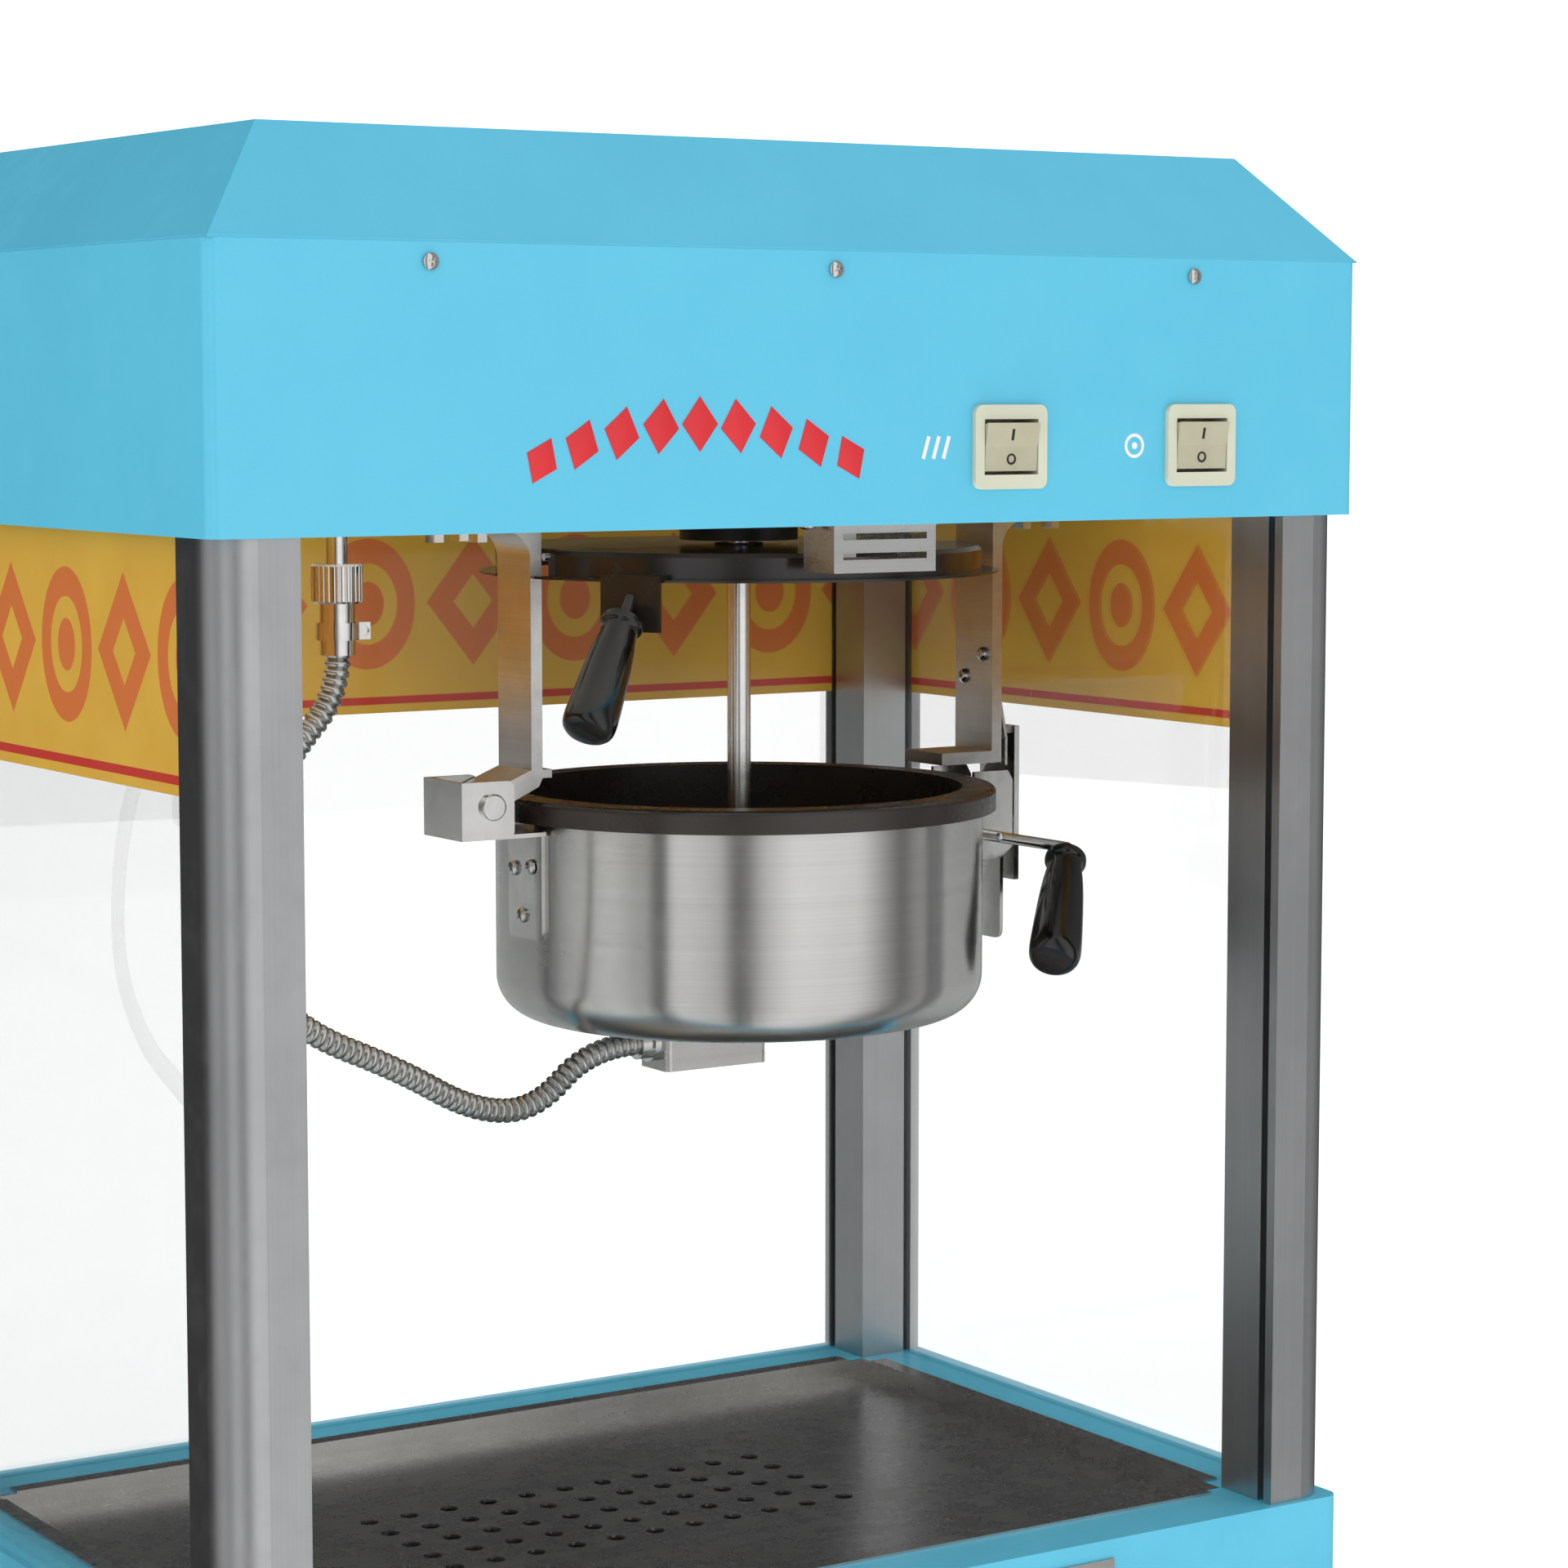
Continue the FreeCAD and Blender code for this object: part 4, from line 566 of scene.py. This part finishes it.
def ribbed_tube(name, points, radius, pitch, depth, rings=6, sides=24):
    stations = along_line(points, pitch / rings)
    mesh = bmesh.new()
    side = Vector((0, 1, 0))
    loops = []
    for index, place in enumerate(stations):
        ahead = stations[min(index + 1, len(stations) - 1)] - stations[max(index - 1, 0)]
        up = ahead.cross(side).normalized()
        phase = 2 * math.pi * (index % rings) / rings
        swell = radius - depth * (0.5 - 0.5 * math.cos(phase)) ** 2
        loops.append([mesh.verts.new(place + swell * (math.cos(a) * side + math.sin(a) * up))
                      for a in (2 * math.pi * k / sides for k in range(sides))])
    for low, high in zip(loops, loops[1:]):
        for k in range(sides):
            mesh.faces.new((low[k], low[(k + 1) % sides], high[(k + 1) % sides], high[k]))
    mesh.faces.new(list(reversed(loops[0])))
    mesh.faces.new(loops[-1])
    bmesh.ops.recalc_face_normals(mesh, faces=mesh.faces)
    data = bpy.data.meshes.new(name)
    mesh.to_mesh(data)
    mesh.free()
    piece = bpy.data.objects.new(name, data)
    bpy.context.scene.collection.objects.link(piece)
    return piece


conduit = ribbed_tube("ribbed_conduit", centres, conduit_radius, rib_pitch, rib_depth)
settle(conduit, "ribbed_conduit", conduit_steel, angle=60)
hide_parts("kettle_conduit")
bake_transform(conduit)

# %% [markdown]
# ## Grips
# Both grips are black phenolic mouldings: slimmer at the root, with a collar there, and a rounded cap at the
# end. A plain cone would miss the collar and the soft shoulders that catch the light, so each is turned in
# steps.

# %% Find the line of a grip from its engineered solid
end_zone = 0.004


def long_axis(node):
    """A slender part's middle, its direction, and how far along it the slimmer and the wider end are."""
    points = [vertex.co.copy() for vertex in nodes[node].data.vertices]
    middle = sum(points, Vector()) / len(points)
    way = max((p - middle for p in points), key=lambda d: d.length).normalized()
    # Each round pulls the direction closer to the one in which the points spread furthest.
    for _ in range(30):
        way = sum(((p - middle) * (p - middle).dot(way) for p in points), Vector()).normalized()
    spans = [(p - middle).dot(way) for p in points]
    low, high = min(spans), max(spans)

    def girth(near):
        return max(((p - middle) - way * (p - middle).dot(way)).length
                   for p, span in zip(points, spans) if abs(span - near) < end_zone)
    if girth(low) > girth(high):
        way, low, high = -way, -high, -low
    return middle, way, low, high


# %% Turn both grips
def make_grip(node, name, root, tip, body):
    """The steps go up the grip: collar, neck, shoulder, belly and rounded cap."""
    middle, way, low, high = long_axis(node)
    length = high - low
    steps = [(0.0, root * 1.05), (0.004, root * 1.05), (0.0052, root * 0.86), (0.0075, root * 0.84),
             (0.012, root * 0.93), (length * 0.35, root + (tip - root) * 0.35),
             (length * 0.7, root + (tip - root) * 0.78), (length - 0.008, tip),
             (length - 0.0035, tip * 0.97), (length - 0.0012, tip * 0.86), (length, tip * 0.6)]
    grip = turned(steps, middle + way * low, way, round_edge=0.0008)
    modifier = grip.modifiers.new("smooth", "SUBSURF")
    modifier.levels = modifier.render_levels = 1
    settle(grip, name, grip_black)
    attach(grip, body)
    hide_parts(node)
    print(name, "length %.1f mm" % (1000 * length))


make_grip("lid_grip", "lid_handle_grip", root=0.0097, tip=0.0127, body="lid")
make_grip("crank_grip", "crank_handle_grip", root=0.0102, tip=0.0133, body="latch")

# %% [markdown]
# ## Feet
# A rubber foot has a rolled lower edge, a waist and a washer face at the top.

# %% Turn four feet
foot_low, foot_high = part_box("base_feet")
foot_radius = 0.017
foot_height = foot_high.z - foot_low.z
feet = []
for x in (foot_low.x + foot_radius, foot_high.x - foot_radius):
    for y in (foot_low.y + foot_radius, foot_high.y - foot_radius):
        steps = [(0.0, foot_radius * 0.82), (0.0015, foot_radius * 0.88),
                 (foot_height * 0.45, foot_radius * 0.9), (foot_height * 0.5, foot_radius * 0.84),
                 (foot_height * 0.62, foot_radius * 0.86), (foot_height * 0.66, foot_radius * 0.97),
                 (foot_height, foot_radius * 0.97)]
        feet.append(settle(turned(steps, Vector((x, y, 0)), (0, 0, 1)), "foot", rubber))
feet = join(feet, "rubber_feet")
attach(feet, "cabinet")
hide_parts("base_feet")

# %% [markdown]
# ## Screw heads
# The engineered screws are plain pan heads. A real one has a crowned head and a cross recess, which shows at
# this distance. One head is modelled at the origin, and a copy is set on every screw, found from the separate
# shells of the engineered group: the wide end of a shell is its head.

# %% Find each screw of a group
screw_head_radius = 0.0036


def shells(node):
    """The separate closed shells in a part, each as a list of points."""
    mesh = bmesh.new()
    mesh.from_mesh(nodes[node].data)
    bmesh.ops.remove_doubles(mesh, verts=mesh.verts, dist=1e-6)
    left, found = set(mesh.verts), []
    while left:
        stack, shell = [left.pop()], []
        while stack:
            vertex = stack.pop()
            shell.append(vertex.co.copy())
            for edge in vertex.link_edges:
                other = edge.other_vert(vertex)
                if other in left:
                    left.remove(other)
                    stack.append(other)
        found.append(shell)
    mesh.free()
    return found


def screw_line(points):
    """The top of a screw's head, on the screw's own line, and the way that the head faces."""
    head_zone = 2.1 * screw_head_radius
    low = Vector([min(p[i] for p in points) for i in range(3)])
    high = Vector([max(p[i] for p in points) for i in range(3)])
    middle = (low + high) / 2
    far = max(points, key=lambda p: (p - middle).length)
    wide = [p for p in points if (p - far).length < head_zone]
    head = sum(wide, Vector()) / len(wide)
    rest = [p for p in points if (p - far).length >= head_zone] or points
    way = (head - sum(rest, Vector()) / len(rest)).normalized()
    for axis in (Vector((1, 0, 0)), Vector((0, 1, 0)), Vector((0, 0, 1))):
        if abs(way.dot(axis)) > 0.9:
            way = axis if way.dot(axis) > 0 else -axis
    top = max((p - middle).dot(way) for p in points)
    across = [p - way * p.dot(way) for p in points]
    centre = sum(across, Vector()) / len(across)
    return centre + way * (middle.dot(way) + top), way


# %% One head with a cross recess
def cross_head(radius=screw_head_radius, crown=0.0022):
    steps = [(-crown, radius), (-crown * 0.45, radius), (-crown * 0.15, radius * 0.82), (0.0, radius * 0.5)]
    head = turned(steps, Vector(), (0, 0, 1), sides=24, round_edge=0)
    apply_modifiers(head)
    for turn in (0, 90):
        bpy.ops.mesh.primitive_cube_add(size=1, location=(0, 0, 0), rotation=(0, 0, math.radians(turn)))
        cutter = bpy.context.object
        cutter.scale = (radius * 1.15, radius * 0.24, crown)
        cut = head.modifiers.new("recess", "BOOLEAN")
        cut.operation = "DIFFERENCE"
        cut.object = cutter
        apply_modifiers(head)
        bpy.data.objects.remove(cutter)
    return head


# %% Set a head on every screw
head_lift = 0.00012
turn_per_screw = 0.7


def add_screws(node, name, body):
    pattern = cross_head()
    copies = []
    for index, shell in enumerate(shells(node)):
        place, way = screw_line(shell)
        copy = pattern.copy()
        copy.data = pattern.data.copy()
        bpy.context.scene.collection.objects.link(copy)
        facing = Vector((0, 0, 1)).rotation_difference(way)
        copy.rotation_mode = "QUATERNION"
        copy.rotation_quaternion = facing @ Matrix.Rotation(turn_per_screw * index, 4, "Z").to_quaternion()
        copy.location = place + way * head_lift
        copies.append(settle(copy, name, zinc))
    bpy.data.objects.remove(pattern)
    group = join(copies, name)
    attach(group, body)
    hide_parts(node)
    print(name, len(copies), "heads")


add_screws("panel_screws", "panel_screw_heads", "cabinet")
add_screws("kettle_screws", "kettle_screw_heads", "kettle")

# %% [markdown]
# ## Switch marks
# A rocker carries the two usual marks, a bar for on and a ring for off. They are printed, so each is a very
# thin solid laid on its half of the rocker's face. The upper half leans out by the rocker's throw.

# %% Bar and ring on each rocker
# A disc or ring turned by this stands up and faces the front.
upright = (math.radians(90), 0, 0)
lean = math.radians(12)
mark_rise = 0.0055
bar_width, bar_depth, bar_height, bar_sink = 0.0013, 0.0002, 0.0052, 0.00005
ring_radius, ring_line, ring_sink = 0.0021, 0.00048, 0.0003
for node in ("heat_rocker", "motor_rocker"):
    low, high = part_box(node)
    centre_x = (low.x + high.x) / 2
    middle_z = (low.z + high.z) / 2
    foot_edge = [v.co.y for v in nodes[node].data.vertices
                 if abs(v.co.z - low.z) < 0.0004 and v.co.y < low.y + 0.006]
    bpy.ops.mesh.primitive_cube_add(size=1, location=(centre_x, 0, 0))
    bar = bpy.context.object
    bar.scale = (bar_width, bar_depth, bar_height)
    bar.location.y = low.y + (high.z - middle_z - mark_rise) * math.tan(lean) - bar_sink
    bar.location.z = middle_z + mark_rise
    bar.rotation_euler.x = lean
    bevel(bar, 0.00015, 1)
    settle(bar, node + "_bar", print_black)
    bpy.ops.mesh.primitive_torus_add(
        major_radius=ring_radius, minor_radius=ring_line, major_segments=40, minor_segments=8,
        location=(centre_x, max(foot_edge) - ring_sink, middle_z - mark_rise), rotation=upright)
    ring = settle(bpy.context.object, node + "_ring", print_black)
    for mark in (bar, ring):
        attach(mark, node)

# %% [markdown]
# ## Decoration on the header
# The fascia carries a red arch. It is built of plain lozenges of vinyl, larger in the middle of the arch and
# smaller at its ends. Each is a cylinder of four sides, a fifth of a millimetre deep, turned to follow the
# arch.

# %% An arch of red lozenges
fascia_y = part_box("header_housing")[0].y
vinyl = 0.0002
arch_centre_x = axis_x - 0.140
arch_foot = ceiling + 0.030
arch_half, arch_rise, count = 0.078, 0.015, 9
lozenge_radius, end_shrink, end_turn = 0.0096, 0.12, 0.45
lozenge_width, lozenge_height = 0.95, 1.25
lozenges = []
for index in range(count):
    across = 2 * index / (count - 1) - 1
    fall = across * across
    radius = lozenge_radius * (1 - end_shrink * fall)
    bpy.ops.mesh.primitive_cylinder_add(vertices=4, radius=radius, depth=vinyl)
    piece = bpy.context.object
    piece.scale = (lozenge_width, lozenge_height, 1)
    piece.rotation_euler = (math.radians(90), -across * end_turn, 0)
    piece.location = (arch_centre_x + across * arch_half, fascia_y - vinyl / 2,
                      arch_foot + arch_rise * (1 - fall))
    bevel(piece, 2 * vinyl)
    lozenges.append(settle(piece, "lozenge", print_red))
arch = join(lozenges, "header_arch")
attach(arch, "cabinet")

# %% [markdown]
# A small white sign stands beside each switch: three slanted strokes for rising heat, and a ring with a dot
# for the turning stirrer.

# %% Signs beside the switches
heat_low, heat_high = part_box("heat_switch_bezel")
sign_z = (heat_low.z + heat_high.z) / 2
heat_x = heat_low.x - 0.020
motor_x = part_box("motor_switch_bezel")[0].x - 0.018
stroke_pitch, stroke_width, stroke_height, stroke_slant = 0.0055, 0.0019, 0.0105, 0.3
turn_radius, turn_line, turn_flat, dot_radius = 0.0049, 0.00075, 0.2, 0.0016
signs = []
for step in (-1, 0, 1):
    bpy.ops.mesh.primitive_cube_add(size=1, location=(heat_x + stroke_pitch * step, fascia_y, sign_z))
    stroke = bpy.context.object
    stroke.scale = (stroke_width, vinyl, stroke_height)
    stroke.rotation_euler = (0, stroke_slant, 0)
    signs.append(settle(stroke, "stroke", print_white))
bpy.ops.mesh.primitive_torus_add(major_radius=turn_radius, minor_radius=turn_line, major_segments=48,
                                 minor_segments=8, location=(motor_x, fascia_y, sign_z), rotation=upright)
turn_ring = bpy.context.object
turn_ring.scale = (1, 1, turn_flat)
signs.append(settle(turn_ring, "turn_ring", print_white))
bpy.ops.mesh.primitive_cylinder_add(vertices=32, radius=dot_radius, depth=vinyl,
                                    location=(motor_x, fascia_y, sign_z), rotation=upright)
signs.append(settle(bpy.context.object, "turn_dot", print_white))
signs = join(signs, "switch_signs")
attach(signs, "cabinet")

# %% [markdown]
# ## The lamp's filament
# Inside the capsule is a short tungsten coil: one fine tube drawn along a helix. Its lead wires are too fine
# to show and are left out.

# %% Wind the filament
lamp_low, lamp_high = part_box("lamp")
lamp_z = (lamp_low.z + lamp_high.z) / 2
lamp_y = (lamp_low.y + lamp_high.y) / 2
coil_start = lamp_low.x + 0.008
coil_length, coil_radius, wire_radius = 0.012, 0.0011, 0.00018
turns, per_turn = 9, 10
coil_data = bpy.data.curves.new("filament", "CURVE")
coil_data.dimensions = "3D"
coil_data.bevel_depth = wire_radius
coil_data.resolution_u = 3
wire = coil_data.splines.new("POLY")
wire.points.add(turns * per_turn)
for index in range(turns * per_turn + 1):
    angle = 2 * math.pi * index / per_turn
    x = coil_start + coil_length * index / (turns * per_turn)
    y = lamp_y + coil_radius * math.cos(angle)
    z = lamp_z + coil_radius * math.sin(angle)
    wire.points[index].co = (x, y, z, 1)
filament = bpy.data.objects.new("filament", coil_data)
bpy.context.scene.collection.objects.link(filament)
only(filament)
bpy.ops.object.convert(target="MESH")
filament = settle(bpy.context.object, "lamp_filament", rod_steel)
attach(filament, "cabinet")

# %% [markdown]
# ## Studio
# A pale floor, a white surround and soft lights. The floor glows a little, so that it is as white as what
# stands behind it, and reflections don't see it.

# %% Floor
floor_size, floor_glow = 12, 0.42
floor_paint = finish("studio_floor", (0.93, 0.93, 0.92), (0.91, 0.91, 0.90), 0.6, 0.1, grain_scale=60,
                     grain_depth=0.0002)
floor_surface = floor_paint.node_tree.nodes["Principled BSDF"]
floor_surface.inputs["Emission Color"].default_value = (1, 1, 1, 1)
floor_surface.inputs["Emission Strength"].default_value = floor_glow
bpy.ops.mesh.primitive_plane_add(size=floor_size, location=(0, 0, 0))
floor = settle(bpy.context.object, "studio_floor", floor_paint)
floor.visible_glossy = False

# %% [markdown]
# Brushed steel and black gloss show what stands around them, so their reflections see a ring of upright white
# and grey screens, as in a light tent, while a plain white surround lights everything else and stands behind
# the machine.

# %% Screens and surround
viewer_bearing = math.radians(-32.5)
surround_white, backdrop_white = (0.94, 0.94, 0.95), (1.3, 1.3, 1.3)
world = bpy.data.worlds.new("studio")
bpy.context.scene.world = world
world.use_nodes = True
tree = world.node_tree
background = tree.nodes["Background"]
direction = tree.nodes.new("ShaderNodeTexCoord").outputs["Generated"]
split = tree.nodes.new("ShaderNodeSeparateXYZ")
tree.links.new(direction, split.inputs["Vector"])
front = math_node(tree, "MULTIPLY", split.outputs["Y"], -1.0)
bearing = math_node(tree, "ARCTAN2", split.outputs["X"], front)
from_viewer = math_node(tree, "SUBTRACT", bearing, viewer_bearing)
turns_away = math_node(tree, "DIVIDE", from_viewer, 2 * math.pi)
# One turn and a half more puts the viewer's bearing at the middle of the ramp, and keeps the sum above zero.
turned_away = math_node(tree, "FRACT", math_node(tree, "ADD", turns_away, 1.5))
screens = tree.nodes.new("ShaderNodeValToRGB")
tree.links.new(turned_away, screens.inputs["Fac"])
# Bearing from the viewer in degrees, and how bright the screen there is.
tent = [(-180, 0.04), (-128, 0.03), (-112, 0.04), (-96, 0.06), (-88, 0.34), (-62, 0.68), (-48, 0.34),
        (-38, 0.42), (-30, 0.95), (-8, 0.70), (-2, 0.14), (4, 0.24), (12, 0.76), (26, 1.1), (58, 0.98),
        (72, 0.46), (82, 0.16), (94, 0.46), (116, 0.28), (138, 0.14), (160, 0.06), (180, 0.04)]
ramp = screens.color_ramp
while len(ramp.elements) < len(tent):
    ramp.elements.new(0.5)
for element, (degrees, level) in zip(ramp.elements, tent):
    element.position = (degrees + 180) / 360
    element.color = (level, level, level, 1)
rays = tree.nodes.new("ShaderNodeLightPath")
mirrored = math_node(tree, "MULTIPLY", rays.outputs["Is Glossy Ray"],
                     math_node(tree, "SUBTRACT", 1.0, rays.outputs["Is Camera Ray"]))
surround = blend_colour(tree, rays.outputs["Is Camera Ray"], surround_white, backdrop_white)
tree.links.new(blend_colour(tree, mirrored, surround, screens.outputs["Color"]), background.inputs["Color"])

# %% Soft lights, aimed at the kettle
lit = Vector((axis_x, axis_y, ceiling - 0.15))
for name, place, size, power in (("key", (-1.9, -1.7, 1.5), 1.0, 1.5), ("side", (2.0, -1.2, 1.2), 1.0, 1.0),
                                 ("chamber", (0.0, -0.12, 0.16), 0.3, 3.0)):
    light_data = bpy.data.lights.new(name, "AREA")
    light_data.size = size
    light_data.energy = power
    light = bpy.data.objects.new(name, light_data)
    light.visible_glossy = False
    light.visible_camera = False
    light.visible_transmission = False
    light.location = place
    light.rotation_mode = "QUATERNION"
    light.rotation_quaternion = Vector((0, 0, -1)).rotation_difference(lit - Vector(place))
    bpy.context.scene.collection.objects.link(light)

# %% Show colours as they are
bpy.context.scene.view_settings.view_transform = "Standard"
